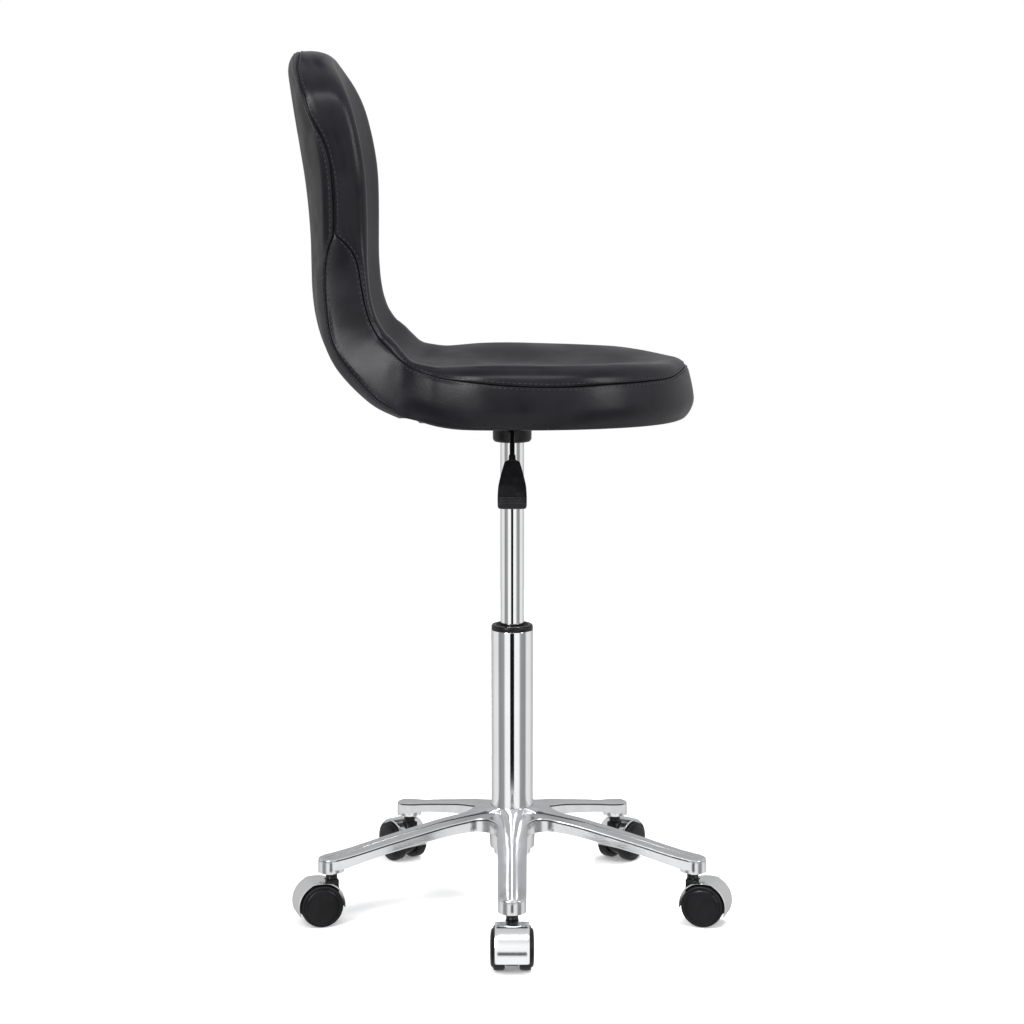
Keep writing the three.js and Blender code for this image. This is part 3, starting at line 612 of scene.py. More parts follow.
def rounded_plate():
    P = fillet([(-84, -64, 8), (86, -64, 8), (86, 64, 8), (-84, 64, 8)], 8)
    inner = [(20.0 * cos(a), 20.0 * sin(a)) for a in np.linspace(-3 * pi / 4, 5 * pi / 4, len(P), endpoint=False)]
    rings = []
    for q, z in ((inner, 594.6), (inner, 598.4)):
        rings.append([(x, y, z) for x, y in q])
    out = [[(x * k, y * k, z) for x, y in P] for k, z in ((.994, 598.5), (1, 598.0), (1, 595.1), (.994, 594.6))]
    rings = [rings[0], rings[1]] + out + [rings[0]]
    return skin(rings, False)


make("seat_plate_sheet", *rounded_plate(), DARK, "seat", "dark_steel", ("seat_plate",))
for k, (x, y) in enumerate([(70, -46), (70, 46), (-70, 46), (-70, -46)]):
    v, f = lathe(fillet([(0, 592.35), (1.8, 592.35), (2.0, 593.3), (2.6, 593.3), (2.8, 592.2), (4.6, 592.2, .5), (5.6, 593.4, .5), (5.6, 594.3),
                         (3, 594.3), (3, 604.6, .5), (0, 604.6)], 3), 24)
    v[:, 0] += x
    v[:, 1] += y
    make(f"seat_plate_bolt_{k + 1}", v, f, DARK, "seat", "dark_steel", (f"plate_bolt_{k + 1}",))


# ------------------------------------------------------------------ height lever
def lever():
    P = spline([(-6, 584.6), (-17, 584.6), (-30, 583.4), (-50, 580.4), (-70, 575.6), (-86, 568.4), (-99, 557), (-112, 543.4)], 60)
    T = np.gradient(P, axis=0)
    T /= np.linalg.norm(T, axis=1)[:, None]
    rings = []
    for (y, z), (ty, tz) in zip(P, T):
        flat = smooth(-22, -16, y)  # pressed flat where it lies over the valve
        rx, rn = mix(2.9, 4.1, flat), mix(2.9, 2.4, flat)
        ring = []
        for k in range(24):
            a = 2 * pi * k / 24
            ca, sa = cos(a), sin(a)
            q = mix(1.0, 1.0 / max(abs(ca), abs(sa)) ** 0.7, flat * 0.6)
            ring.append((rx * ca * q, y - tz * rn * sa, z + ty * rn * sa))
        rings.append(ring)
    tongue = [[(x * 4.1, 3.4, 584.6 + q * 2.4) for x, q in ((cos(2 * pi * k / 24), sin(2 * pi * k / 24)) for k in range(24))]]
    v, f = skin(tongue + rings)
    make("lever_bar", v, f, DARK, "height_lever", "dark_steel", ("lever_rod",), sharp=50)

    d = np.array([0, -13, -13.6])
    d /= np.linalg.norm(d)
    u = np.array([-1.0, 0, 0])
    w = np.cross(u, d)
    o = np.array([0, -99.5, 556.5])
    half = np.array([[0, 3.9], [5, 4.1], [7.6, 4.6], [8.6, 6.4], [9.4, 8.2], [10.6, 9.0], [16, 10.3], [24, 12.1], [32, 13.8], [38, 14.9],
                     [44, 15.8], [50, 16.2], [58, 16.45], [66, 16.4], [69, 16.3], [71, 15.7], [72.2, 14.4], [72.6, 12.0]])
    vs = np.r_[np.linspace(0, 7, 8), np.linspace(7.4, 16, 18), np.linspace(17, 58, 30), np.linspace(58.5, 72.6, 46)]
    rings = []
    for q in vs:
        a = np.interp(q, half[:, 0], half[:, 1])
        body = smooth(6, 11, q)
        tb, tf = mix(4.6, 3.5, body), mix(4.6, 3.3, body)
        grip = smooth(58.6, 60.2, q) * (1 - smooth(70.6, 72.6, q))
        rib = 0.28 * grip * (0.5 + 0.5 * cos(2 * pi * (q - 59.5) / 2.1))
        tb, tf = tb + 1.15 * grip - rib, tf + 1.15 * grip - rib
        endr = 1 - 0.55 * smooth(70.4, 72.6, q) ** 2
        tb, tf = tb * endr, tf * endr
        ex = mix(2.0, 4.6, body)
        ring = []
        for k in range(40):
            t = 2 * pi * k / 40
            ct, st = cos(t), sin(t)
            x = a * np.sign(ct) * abs(ct) ** (2 / ex)
            n = (tf if st > 0 else tb) * np.sign(st) * abs(st) ** (2 / ex)
            n -= 0.35 * body * (1 - grip) * (1 - (x / max(a, 1)) ** 2) * np.sign(st)  # slightly dished faces
            ring.append(tuple(o + u * x + d * q + w * n))
        rings.append(ring)
    v, f = skin(rings)
    make("lever_handle", v, f, PADDLE, "height_lever", "lever_plastic", ("lever_paddle",), sharp=45)


lever()


# ------------------------------------------------------------------ casters
def caster_parts():
    """Wheel halves, hood, fork and stem of one caster: stem on the z axis, wheels trailing toward +x."""
    trail, az = 15.6, 25.0
    # wheel: turned about the axle; (distance along the axle, radius)
    prof = [(7.9, 3.3), (7.9, 12), (9.4, 13), (9.4, 19.5), (7.95, 20.5, .6), (7.95, 22.8, .8), (9.0, 24.6, .9), (11.2, 25.0, 1.2),
            (18.6, 25.0, 1.6), (20.6, 24.3, .8), (21.0, 22.9, .5), (20.7, 22.2, .2), (21.5, 21.7, .5), (23.0, 20.8, 1.0), (23.9, 18.6, 1.6),
            (24.35, 13), (24.6, 5), (24.6, 0), (19, 0), (19, 3.3)]
    P = fillet(prof, 4)
    seg = 96
    v, f = [], []
    n = len(P)
    for k in range(seg):
        a = 2 * pi * k / seg + pi / 2 * 3
        v += [(trail + r * cos(a), y, az + r * sin(a)) for y, r in P]
        k2 = (k + 1) % seg
        f += [(k * n + i, k2 * n + i, k2 * n + (i + 1) % n, k * n + (i + 1) % n) for i in range(n)]
    V = np.array(v)
    idx = []
    for q in f:
        c = V[list(q)].mean(0)
        r = hypot(c[0] - trail, c[2] - az)
        idx.append(1 if (r > 22.4 and c[1] < 20.9) else 0)
    wheel = (V, f, idx)
    # hood: a bent band with rolled rims
    line = []
    for t in np.linspace(-21.5, 187, 61):
        r = 28.6
        a = radians(t)
        x, z = trail + r * cos(a), az + r * sin(a)
        line.append([x, z, t])
    flat = lambda t: smooth(50, 62, t) * (1 - smooth(100, 112, t))
    sec = []
    for x, z, t in line:
        # flattened crown over the stem side
        k = flat(t)
        x0, z0 = trail + 0.36 * 28.6, az + 0.965 * 28.6 + 0.2
        x1, z1 = trail - 0.05 * 28.6, az + 0.965 * 28.6 + 0.4
        if k > 0:
            s = np.clip((t - 60) / 40, 0, 1)
            x, z = mix(x, mix(x0, x1, s), k * 0.8), mix(z, mix(z0, z1, s), k * 0.8)
        sec.append((x, z))
    sec = np.array(spline(sec, 72))
    T = np.gradient(sec, axis=0)
    T /= np.linalg.norm(T, axis=1)[:, None]
    nrm = np.stack([T[:, 1], -T[:, 0]], 1)
    nrm *= np.sign(((sec - np.array([trail, az])) * nrm).sum(1))[:, None]
    # cross section across the band: (y, offset outward)
    ys = fillet([(-19.1, 0.35, .3), (-19.1, 0.0, .3), (-17.6, -0.05, .6), (17.6, -0.05, .6), (19.1, 0.0, .3), (19.1, 0.35, .3),
                 (19.1, -1.5, .5), (17.6, -1.5, .3), (-17.6, -1.5, .3), (-19.1, -1.5, .5)], 3)
    top = [(y, -0.55 * (abs(y) / 19.1) ** 8) for y in np.linspace(-19.1, 19.1, 25)]
    ys = [(-19.1, -1.0)] + [(-19.15, -0.75)] + top[1:-1] + [(19.15, -0.75), (19.1, -1.0), (18.7, -1.5), (18.0, -1.55)] + \
         [(y, -1.5) for y in np.linspace(15, -15, 7)] + [(-18.0, -1.55), (-18.7, -1.5)]
    rings = [[(sx + nx * o, y, sz + nz * o) for y, o in ys] for (sx, sz), (nx, nz) in zip(sec, nrm)]
    hood = skin(rings)
    # fork between the wheels, with the swivel housing
    body = fillet([(-7.3, 22, 2), (-7.3, 52.3, 1.2), (7.3, 52.3, 1.2), (7.3, 49.0), (14, 50.2, 3), (26, 46, 5), (36, 33, 5), (37, 18, 6), (24, 5.5, 6),
                   (8, 6.5, 6), (-4, 14, 5)], 4)
    rings = []
    for y, k in ((-7.3, .93), (-6.9, .985), (-6.2, 1.0), (6.2, 1.0), (6.9, .985), (7.3, .93)):
        rings.append([(15 + (x - 15) * k, y, 28 + (z - 28) * k) for x, z in body])
    fork = skin(rings)
    house = lathe(fillet([(4.2, 24), (7.45, 24, .6), (7.45, 52.2, .8), (4.2, 52.2, .3)], 3), 48)
    axle = [[(trail + 3 * cos(t), y, az + 3 * sin(t)) for t in np.linspace(0, 2 * pi, 24, endpoint=False)] for y in (-18.5, 18.5)]
    axle = skin(axle)
    stem = lathe(fillet([(0, 38.5), (4, 38.5, .5), (4, 52.6), (6.8, 52.6, .5), (6.8, 60.9, .5), (5.3, 60.9), (5.3, 75.8, .7), (0, 75.8)], 3), 48)
    return wheel, hood, join(fork, house), axle, stem


def casters():
    wheel, hood, fork, axle, stem = caster_parts()

    def put(v, ang):
        c, s = cos(radians(ang)), sin(radians(ang))
        return np.stack([v[:, 0] * c - v[:, 1] * s + STEM_R * c, v[:, 0] * s + v[:, 1] * c + STEM_R * s, v[:, 2]], 1)

    for k, ang in enumerate(LEGS):
        n = f"caster_{k + 1}"
        v, f, idx = wheel
        make(n + "_wheel_l_body", put(v, ang), f, [CAP, TREAD], n + "_wheel_l", "black_plastic", (n + "_wheel_left",), idx)
        w = v * np.array([1, -1, 1])
        make(n + "_wheel_r_body", put(w, ang), f, [CAP, TREAD], n + "_wheel_r", "black_plastic", (n + "_wheel_right",), idx)
        ho = make(n + "_hood_band", put(hood[0], ang), hood[1], HOOD, n, "chrome", (n + "_hood",), sharp=35)
        notch = join(lathe([(0, 44), (8.7, 44), (8.7, 72), (0, 72)], 48), box_mesh(-30, 0, -8.7, 8.7, 44, 72))
        ca = cutter([(put(lathe([(0, 44), (8.7, 44), (8.7, 72), (0, 72)], 48)[0], ang), lathe([(0, 44), (8.7, 44), (8.7, 72), (0, 72)], 48)[1])])
        cut(ho, ca)
        bx = box_mesh(-30, 0, -8.7, 8.7, 44, 72)
        cut(ho, cutter([(put(bx[0], ang), bx[1])]))
        make(n + "_fork_body", put(fork[0], ang), fork[1], BLACK, n, "black_plastic", (n + "_fork",), sharp=35)
        make(n + "_axle_pin", put(axle[0], ang), axle[1], BRIGHT, n, "bright_steel", (n + "_axle",), sharp=35)
        make(n + "_stem_pin", put(stem[0], ang), stem[1], BLACK, "base", "dark_steel", (n + "_stem",), sharp=35)


casters()

# ------------------------------------------------------------------ upholstery
SPINE = [[211, 612.5], [186, 609], [150, 606.5], [100, 604.5], [50, 603.3], [0, 603], [-45, 603.2], [-92, 605], [-132, 613],
         [-166, 632], [-190, 656], [-205, 684], [-213, 712], [-216.5, 740], [-217.3, 770], [-217.8, 800], [-220, 835], [-223.5, 868],
         [-228.5, 902], [-233.5, 934], [-237.5, 962], [-240.5, 986], [-242.8, 1011.5]]
SP = spline(SPINE, 1201)
LEN = float(np.linalg.norm(np.diff(SP, axis=0), axis=1).sum())
SS = np.linspace(0, LEN, 1201)
TG = np.gradient(SP, SS, axis=0)
TG /= np.linalg.norm(TG, axis=1)[:, None]
WID = np.array([[208, 199], [250, 196], [292, 184], [335, 166], [380, 149], [425, 136.5], [470, 128.5], [520, 125], [560, 127],
                [600, 134], [640, 142.5], [680, 147.5], [700, 148]], float)


def half_width(s):
    if s <= 208:
        return 199 * sqrt(max(0, 1 - ((208 - s) / 208) ** 2))
    if s >= 700:
        return 148 * max(0, 1 - ((min(s, LEN) - 700) / (LEN - 700)) ** 2.2) ** (1 / 2.1)
    i = min(len(WID) - 2, int(np.searchsorted(WID[:, 0], s, side="right")) - 1)
    (s0, w0), (s1, w1) = WID[i], WID[i + 1]
    h, t = s1 - s0, (s - s0) / (s1 - s0)
    sl = lambda j: 0 if j <= 0 or j >= len(WID) - 1 else (WID[j + 1][1] - WID[j - 1][1]) / (WID[j + 1][0] - WID[j - 1][0])
    m0, m1 = sl(i) * h, sl(i + 1) * h
    return (2 * t ** 3 - 3 * t ** 2 + 1) * w0 + (t ** 3 - 2 * t ** 2 + t) * m0 + (-2 * t ** 3 + 3 * t ** 2) * w1 + (t ** 3 - t ** 2) * m1


def place(s, y, n):
    """Point at arc length s, width y and height n over the shell's mid line."""
    s, y, n = np.broadcast_arrays(np.asarray(s, float), np.asarray(y, float), np.asarray(n, float))
    c = np.clip(s, 0, LEN)
    e = c - s
    x, z = np.interp(c, SS, SP[:, 0]), np.interp(c, SS, SP[:, 1])
    tx, tz = np.interp(c, SS, TG[:, 0]), np.interp(c, SS, TG[:, 1])
    d = mix(mix(10, 26, smooth(260, 400, s)), 17, smooth(640, LEN, s))
    h = d * np.minimum(1.2, (y / mix(190, 130, smooth(250, 420, s))) ** 2) + n
    return np.stack([x - e * tx + tz * h, y, z - e * tz - tx * h], -1)


def top_face(s, rho):
    centre = mix(mix(44, 38, smooth(280, 360, s)), 35, smooth(420, 520, s))
    return mix(centre, crest_n(s), smooth(.2, .84, rho))


def crest_n(s):
    return mix(mix(50 + 4.5 * smooth(15, 95, s), 42, smooth(250, 360, s)), 38, smooth(430, 540, s))


FRONT_SEAM = np.array([[0, 42.0], [3, 41.0], [27, 34.8], [57, 33.1], [103, 31.6], [145, 29.8], [187, 29.9], [229, 32.2], [272, 36.2], [321, 34.6],
                       [368, 27.8], [410, 26.8], [437, 27.6], [480, 27.4], [519, 25.0], [540, 21.6], [552, 16.8], [563, 7.0], [573, -3.6],
                       [590, -3.6], [617, -3.9], [644, -4.9], [665, -5.6], [683, -8.4], [701, -13.0], [719, -14.6], [737, -13.4],
                       [757, -8.6], [772, -1.0], [779.84, 2.0]], float)
REAR_SEAM = np.array([[0, -15.6], [60, -16.2], [200, -16.6], [300, -16.6], [335, -19.5], [364, -23.6], [386, -23.8], [405, -23.2], [432, -22.0],
                      [455, -20.3], [488, -16.6], [520, -15.4], [543, -14.0], [562, -9.6], [573, -4.8], [590, -4.6], [617, -4.9], [644, -5.9],
                      [665, -6.6], [683, -9.4], [701, -14.0], [719, -15.6], [737, -14.4], [757, -9.6], [772, -2.0], [779.84, 1.0]], float)


def line_of(table):
    q = spline(table, 900, 0.5)
    return lambda s: float(np.interp(s, q[:, 0], q[:, 1]))


n_front, n_rear = line_of(FRONT_SEAM), line_of(REAR_SEAM)

# outline samples, evenly spread along the edge of the unrolled shell
_s = np.unique(np.r_[208 * (1 - np.cos(np.linspace(0, pi / 2, 400))), np.linspace(208, 700, 600),
                     700 + (LEN - 700) * np.sin(np.linspace(0, pi / 2, 400)) ** .8])
_y = np.array([half_width(q) for q in _s])
_a = np.r_[0, np.cumsum(np.hypot(np.diff(_s), np.diff(_y)))]
NCOL = 300
_q = np.linspace(0, _a[-1], NCOL)
OUT_S, OUT_Y = np.interp(_q, _a, _s), np.interp(_q, _a, _y)
OUT_S[0], OUT_Y[0], OUT_S[-1], OUT_Y[-1] = 0, 0, LEN, 0
MID = mix(105, LEN - 95, OUT_S / LEN)


class Line:
    """A polyline in the (e, n) cross section with arc length and outward normals."""

    def __init__(self, pts):
        self.p = np.array(pts, float)
        self.a = np.r_[0, np.cumsum(np.linalg.norm(np.diff(self.p, axis=0), axis=1))]
        t = np.gradient(self.p, axis=0)
        t /= np.maximum(np.linalg.norm(t, axis=1)[:, None], 1e-9)
        self.n = np.stack([-t[:, 1], t[:, 0]], 1)

    def at(self, a, lift=0.0):
        a = np.asarray(a, float)
        p = np.stack([np.interp(a, self.a, self.p[:, k]) for k in (0, 1)], -1)
        n = np.stack([np.interp(a, self.a, self.n[:, k]) for k in (0, 1)], -1)
        return p + n * np.asarray(lift)[..., None]


def dent(d, depth=1.5, width=0.8, soft=0.55, reach=4.5):
    d = np.abs(d)
    return -depth * np.exp(-(d / width) ** 2) - soft * np.exp(-(d / reach) ** 2)


def sections():
    """Cross section of every outline column, from the crest round the side to the back: rows of (e, n)."""
    rows, stitch = [], {"f_up": [], "f_low": [], "r_up": [], "r_low": []}
    for so, oy, m in zip(OUT_S, OUT_Y, MID):
        R = hypot(so - m, oy)
        ec = -0.16 * R
        sc = m + (so - m) * 0.84
        nc = float(top_face(sc, 0.84))
        nf, nr = n_front(so), n_rear(so)
        nv = float(mix(mix(32, 26.5, smooth(300, 400, so)), 4, smooth(515, 620, so)))
        ph = np.linspace(0, pi / 2, 60)
        p = [(ec * (1 - sin(a) ** 0.94), nv + (nc - nv) * cos(a)) for a in ph]
        low = min(nr - 1, nv - 1)
        for t in np.linspace(0, 1, 60)[1:]:
            n = mix(nv, low, t)
            roll = 9.0 * max(0.0, (4.0 - n) / 20.0) ** 2 * (1 - float(smooth(318, 345, so)))
            p.append(((1.7 * sin(pi * min(1, t)) ** 0.9 if nv - low > 4 else 0.0) - roll, n))
        side = Line(p)
        # arc lengths where the seams run
        af = float(np.interp(-nf, -side.p[:, 1], side.a))
        ar = float(np.interp(-nr, -side.p[:, 1], side.a))
        ar = max(ar, af + 0.5)
        rear_on = float(smooth(335, 352, so))
        gap = ar - af
        gw = min(2.2, 0.45 * gap)
        up = np.r_[np.linspace(0, max(af - 2.4, af * .6), 14), af + np.array([-1.6, -1.0, -0.5, 0.0])]
        lowp = np.r_[af + gw * np.array([.25, .5, .8]), np.linspace(af + gw * 1.05, ar - gw * 1.05, 13), ar - gw * np.array([.8, .5, .25]), [ar]]
        A = np.r_[up, lowp]
        A = np.maximum.accumulate(A)
        depth_r = 1.5 * rear_on
        shallow = 1 - 0.65 * np.exp(-((so - 350) / 75.0) ** 2)  # the seam lies flatter round the inner corner
        dd = np.minimum(dent(A - af, 1.5 * shallow, 0.8, 0.55 * shallow), dent(A - ar, depth_r, 0.8, 0.55 * rear_on))
        single = 1 - smooth(1.0, 5.0, gap)
        dd = np.where((A > af) & (A < ar), mix(dd, -1.6, single), dd)
        sec = list(side.at(A, dd))
        # round the back edge
        e0, n0 = side.at(ar)
        flat = min(-15.0, nr - 2.6)
        turn = float(mix(9.5, 27.0, smooth(715, LEN, so)))
        back = [(e0 - turn * (1 - cos(a)), n0 + (flat - n0) * sin(a)) for a in np.linspace(0, pi / 2, 24)] + \
               [(e0 - turn - q, flat) for q in np.linspace(1, 9, 8)]
        seat = [(e0 - 3.0 * (1 - cos(a)), n0 - 0.7 * sin(a)) for a in np.linspace(0, pi / 2, 12)] + \
               [(e0 - 4.5, n0 + .2), (e0 - 5.6, n0 + 2), (e0 - 6.2, n0 + 4), (e0 - 7, -8.5), (e0 - 8.5, -7), (e0 - 10.5, -6.2), (e0 - 14, -6)]
        w = 1 - float(smooth(316, 332, so))
        lb, ls = Line(back), Line(seat)
        AR = np.r_[[0.25, 0.5, 0.9, 1.4, 2.2, 3.2], np.linspace(4.4, 19, 12)]
        b = lb.at(AR * lb.a[-1] / 19.0, dent(AR, depth_r, 0.8, 0.55 * rear_on))
        s_ = ls.at(AR * ls.a[-1] / 19.0)
        sec += list(b * (1 - w) + s_ * w)
        rows.append(sec)
        stitch["f_up"].append(side.at(af - 3.3, dent(3.3) + 0.12))
        stitch["f_low"].append(side.at(min(af + 3.3, (af + ar) / 2), dent(3.3) + 0.12) if gap > 9 else None)
        stitch["r_up"].append(side.at(max(ar - 3.3, (af + ar) / 2), dent(3.3) + 0.12) if gap > 9 and so > 352 else None)
        stitch["r_low"].append(lb.at(3.3 * lb.a[-1] / 19.0, dent(3.3) + 0.12) if so > 352 else None)
    return np.array(rows), stitch


SEC, STITCH = sections()
NTOP, NBACK = 40, 26


def from_column(e, n, i):
    """Points of column i at e outward from the outline and n over the mid line."""
    so, oy, m = OUT_S[i], OUT_Y[i], MID[i]
    R = hypot(so - m, oy)
    r = R + np.asarray(e)
    return m + (so - m) / R * r, oy / R * r


def upholstery():
    cols = []
    S_, Y_, N_ = [], [], []
    for i in range(NCOL):
        so, oy, m = OUT_S[i], OUT_Y[i], MID[i]
        R = hypot(so - m, oy)
        rho = 0.84 * np.linspace(0, 1, NTOP + 1)[:-1]
        s, y = m + (so - m) * rho, oy * rho
        n = top_face(s, rho)
        s2, y2 = from_column(SEC[i][:, 0], 0, i)
        n2 = SEC[i][:, 1]
        r_in = (R + SEC[i][-1, 0]) / R
        rb = r_in * np.linspace(1, 0, NBACK + 1)[1:]
        s3, y3 = m + (so - m) * rb, oy * rb
        flat = SEC[i][-1, 1]
        target = mix(-15.0, -6.0, 1 - smooth(316, 332, s3))
        n3 = mix(target, flat, smooth(0.55, 1.0, rb / r_in))
        # keep the step at the pan's end, whatever the column's own outline does
        n3 = np.where(s3 < 316, np.maximum(n3, -6.2), n3)
        S_.append(np.r_[s, s2, s3])
        Y_.append(np.r_[y, y2, y3])
        N_.append(np.r_[n, n2, n3])
    S_, Y_, N_ = np.array(S_), np.array(Y_), np.array(N_)
    P = place(S_, Y_, N_)
    du = np.gradient(P, axis=0)
    dv = np.gradient(P, axis=1)
    nr = np.cross(dv, du)
    nr /= np.maximum(np.linalg.norm(nr, axis=-1)[..., None], 1e-9)
    # point the normals away from the shell's mid surface
    ref = P - place(S_, Y_ * 0.9, np.full_like(N_, 8.0))
    flip = np.sign((nr[:, :NTOP + 10] * ref[:, :NTOP + 10]).sum(-1).mean())
    nr *= flip if flip else 1
    k_f = NTOP + 17  # row of the front seam
    fine = np.ones(P.shape[:2])
    # soft undulation of a foam pad under a stretched cover
    und = 0.45 * np.sin(S_ / 31 + 1.3) * np.cos(Y_ / 27 + .6) + 0.3 * np.sin(S_ / 17 - Y_ / 23 + 2.1)
    top_mask = np.zeros(P.shape[1])
    top_mask[:k_f - 3] = 1
    side_mask = np.zeros(P.shape[1])
    side_mask[k_f + 4:k_f + 17] = 1
    edge0 = 1 - np.exp(-(Y_ / 14.0) ** 2)  # nothing along the mirror line
    disp = und * (0.8 * top_mask + 0.7 * side_mask)[None, :] * edge0
    # gathers where the cover turns up into the backrest
    rows = np.arange(P.shape[1])[None, :]
    near = np.exp(-((rows - (k_f - 6)) / 7.0) ** 2)
    g = np.exp(-((OUT_S[:, None] - 372) / 38.0) ** 2)
    fold = 0.1 * np.sin(OUT_S[:, None] / 4.1 + 0.7 * np.sin(rows / 3.0)) * g * near * top_mask[None, :]
    disp += fold * edge0
    # long soft creases across the inner corner of seat and back
    for q0, a, w in ((316, -0.3, 12), (338, 0.22, 13), (362, -0.3, 13)):
        c = S_ + 0.32 * (Y_ - 110)
        disp += a * np.exp(-((c - q0) / w) ** 2) * smooth(45, 110, Y_) * top_mask[None, :]
    # gathers down the boxed side just under the front seam
    near2 = np.exp(-((rows - (k_f + 7)) / 4.0) ** 2)
    g2 = np.exp(-((OUT_S[:, None] - 352) / 46.0) ** 2)
    disp += 0.22 * np.sin(OUT_S[:, None] / 6.3 + rows / 5.0) * g2 * near2 * side_mask[None, :]
    P = P + nr * disp[..., None]
    ncol, nrow = P.shape[:2]
    V = P.reshape(-1, 3)
    F, idx = [], []
    k_r = k_f + 20
    for i in range(ncol - 1):
        back = OUT_S[i] > 318
        for j in range(nrow - 1):
            F.append((i * nrow + j, (i + 1) * nrow + j, (i + 1) * nrow + j + 1, i * nrow + j + 1))
            if k_f - 1 <= j <= k_f:
                k = 2
            elif j in (k_r - 1, k_r) and OUT_S[i] > 345:
                k = 2
            elif j >= k_r + 9:
                k = 1
            else:
                k = 0
            idx.append(k)
    W = V * np.array([1, -1, 1])
    V2 = np.vstack([V, W])
    F2 = F + [tuple(q + len(V) for q in f[::-1]) for f in F]
    ob = make("upholstery_cover", V2, F2, [LEATHER, REAR, GROOVE], "seat", "leatherette", ("front_cover", "rear_cover", "foam_pad"),
              idx + idx, sharp=62)
    # stitches
    parts = []
    for key, pts in STITCH.items():
        run, runs = [], []
        for i, q in enumerate(pts):
            if q is None:
                if run:
                    runs.append(run)
                run = []
            else:
                s, y = from_column(q[0], 0, i)
                a = place(s, y, q[1])
                s1, y1 = from_column(q[0] + 0.0, 0, i)
                run.append(a)
        if run:
            runs.append(run)
        for r in runs:
            r = np.array(r)
            for sg in (1, -1):
                parts += stitches(r * np.array([1, sg, 1]))
    v, f = join(*parts)
    make("upholstery_stitching", v, f, THREAD, "seat", "leatherette", sharp=60, recalc=False)


def stitches(line, pitch=6.0, length=3.7, r=0.48):
    a = np.r_[0, np.cumsum(np.linalg.norm(np.diff(line, axis=0), axis=1))]
    out = []
    count = int(a[-1] / pitch)
    at = lambda q: np.array([np.interp(q, a, line[:, k]) for k in range(3)])
    ring = [(cos(2 * pi * k / 6), sin(2 * pi * k / 6)) for k in range(6)]
    for c in range(count):
        q = (c + 0.5) * pitch
        p0, p1 = at(q - length / 2), at(q + length / 2)
        t = p1 - p0
        L_ = np.linalg.norm(t)
        if L_ < 1e-6:
            continue
        t /= L_
        u = np.cross(t, [0.3, 0.2, 1.0])
        u /= np.linalg.norm(u)
        w = np.cross(t, u)
        v = []
        for f_, k in ((-0.5, .25), (-0.36, .85), (0.0, 1.0), (0.36, .85), (0.5, .25)):
            v += [(p0 + p1) / 2 + t * L_ * f_ + (u * x + w * y) * r * k for x, y in ring]
        fs = [(b * 6 + i, b * 6 + (i + 1) % 6, (b + 1) * 6 + (i + 1) % 6, (b + 1) * 6 + i) for b in range(4) for i in range(6)]
        fs += [tuple(range(6))[::-1], tuple(24 + i for i in range(6))]
        out.append((np.array(v), fs))
    return out


upholstery()


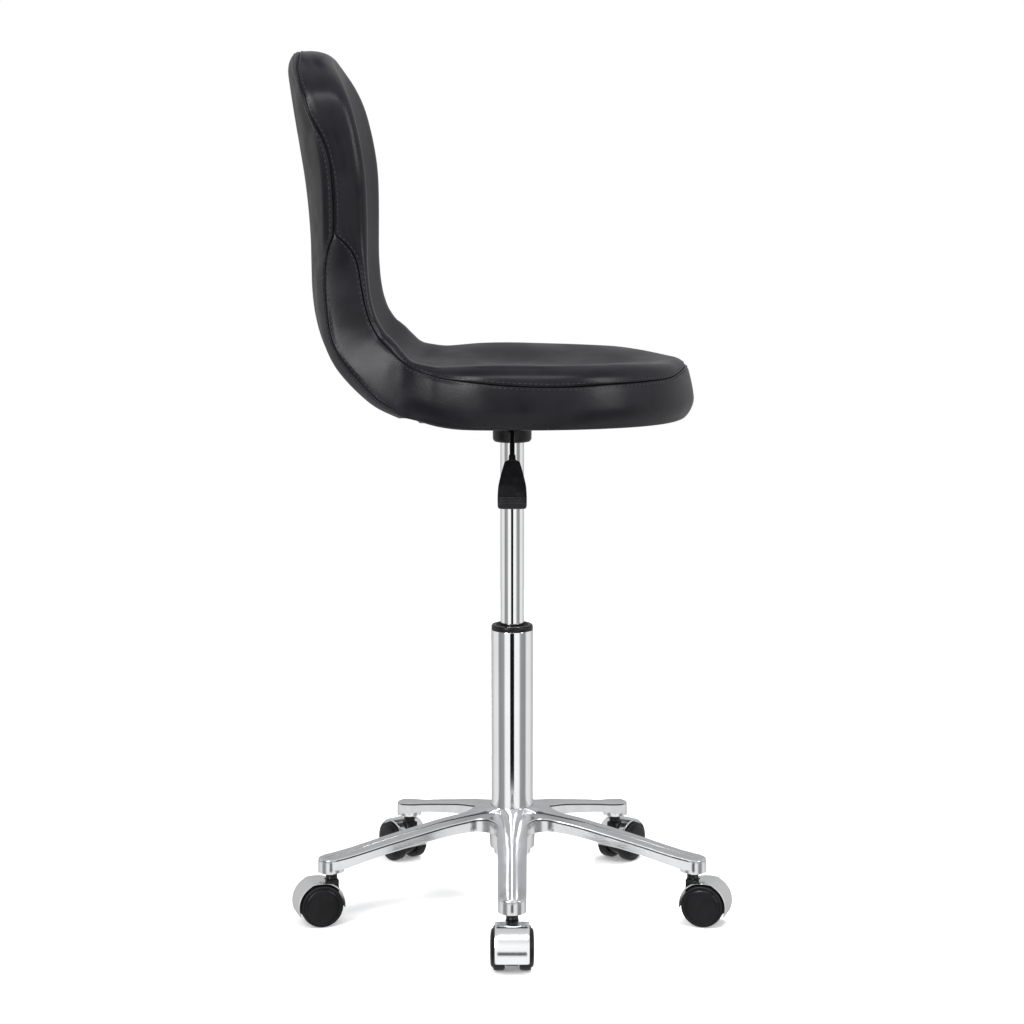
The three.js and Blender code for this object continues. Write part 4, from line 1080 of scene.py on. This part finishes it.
# ------------------------------------------------------------------ moulded pan under the seat
def seat_pan():
    END = 326.0
    pts = []
    i_end = int(np.searchsorted(OUT_S, END))
    for i in range(0, i_end):
        a, b = max(i - 1, 0), min(i + 1, NCOL - 1)
        t = np.array([OUT_S[b] - OUT_S[a], OUT_Y[b] - OUT_Y[a]])
        if i == 0:
            t = np.array([0.0, 1.0])
        t /= np.linalg.norm(t)
        nrm = np.array([-t[1], t[0]])  # outward in (s, y): for a curve running to +s with y > 0
        nrm *= 1 if nrm[1] >= 0 or i == 0 else -1
        if i == 0:
            nrm = np.array([-1.0, 0.0])
        pts.append((OUT_S[i], OUT_Y[i], *nrm))
    w = half_width(END)
    for t in np.linspace(0, 1, 10)[1:]:
        a = t * pi / 2
        pts.append((END - 10 + 10 * sin(a), w - 10 + 10 * cos(a), sin(a), cos(a)))
    for y in np.linspace(w - 10, 0, 40)[1:]:
        pts.append((END, y, 1, 0))
    pts = np.array(pts)
    key = spline([(-19, -9.5), (-15, -10.3), (-11.6, -12.6), (-10.0, -15.0), (-10.2, -17.0), (-12, -17.8), (-15, -17.2), (-19, -16.5), (-25, -16.2)], 26)
    rows = []
    for s, y, ns, ny in pts:
        m = float(np.clip(mix(105, 260, s / END), 105, 260))
        col = []
        for e, n in key:
            col.append((s + ns * e, max(0.0, y + ny * e) if y > 1e-6 else 0.0, n))
        sb, yb, nb = col[-1]
        for t in np.linspace(0, 1, 22)[1:]:
            col.append((mix(sb, m, t), mix(yb, 0, t), mix(nb, -16.0, t) - 0.0))
        st, yt, nt = col[0]
        head = [(mix(m, st, t), mix(0, yt, t), -9.5) for t in np.linspace(0, 1, 8)[:-1]]
        rows.append(head + col)
    A = np.array(rows)
    P = place(A[..., 0], A[..., 1], A[..., 2])
    nc, nw = P.shape[:2]
    V = P.reshape(-1, 3)
    F = [(i * nw + j, (i + 1) * nw + j, (i + 1) * nw + j + 1, i * nw + j + 1) for i in range(nc - 1) for j in range(nw - 1)]
    V2 = np.vstack([V, V * np.array([1, -1, 1])])
    # a shallow channel under the pan leaves room for the lever bar when it is pulled up
    under = np.tile((A[..., 2].reshape(-1) < -13).astype(float), 2)
    V2[:, 2] += 3.0 * under * (1 - smooth(8, 16, np.abs(V2[:, 0]))) * smooth(12, 26, -V2[:, 1]) * (1 - smooth(95, 125, -V2[:, 1]))
    F2 = F + [tuple(q + len(V) for q in f[::-1]) for f in F]
    ob = make("seat_pan_tray", V2, F2, BLACK, "seat", "black_plastic", ("seat_pan",), sharp=45)
    v, f = lathe([(0, 560), (38, 560), (38, 600), (0, 600)], 96)
    cut(ob, cutter([(v, f)]))


seat_pan()

# ------------------------------------------------------------------ CAD nodes that stay in view or inside
for mat_row in frame["record"].get("materials", []):
    pass
node_slot = {}
for row in frame["record"].get("materials", []):
    for n in row.get("nodes", []):
        node_slot[n] = row.get("slot")
for n, ob in frame["nodes"].items():
    m = SLOT_MATS.get(node_slot.get(n), DARK)
    ob.data.materials.clear()
    ob.data.materials.append(m)
    for p in ob.data.polygons:
        p.material_index = 0
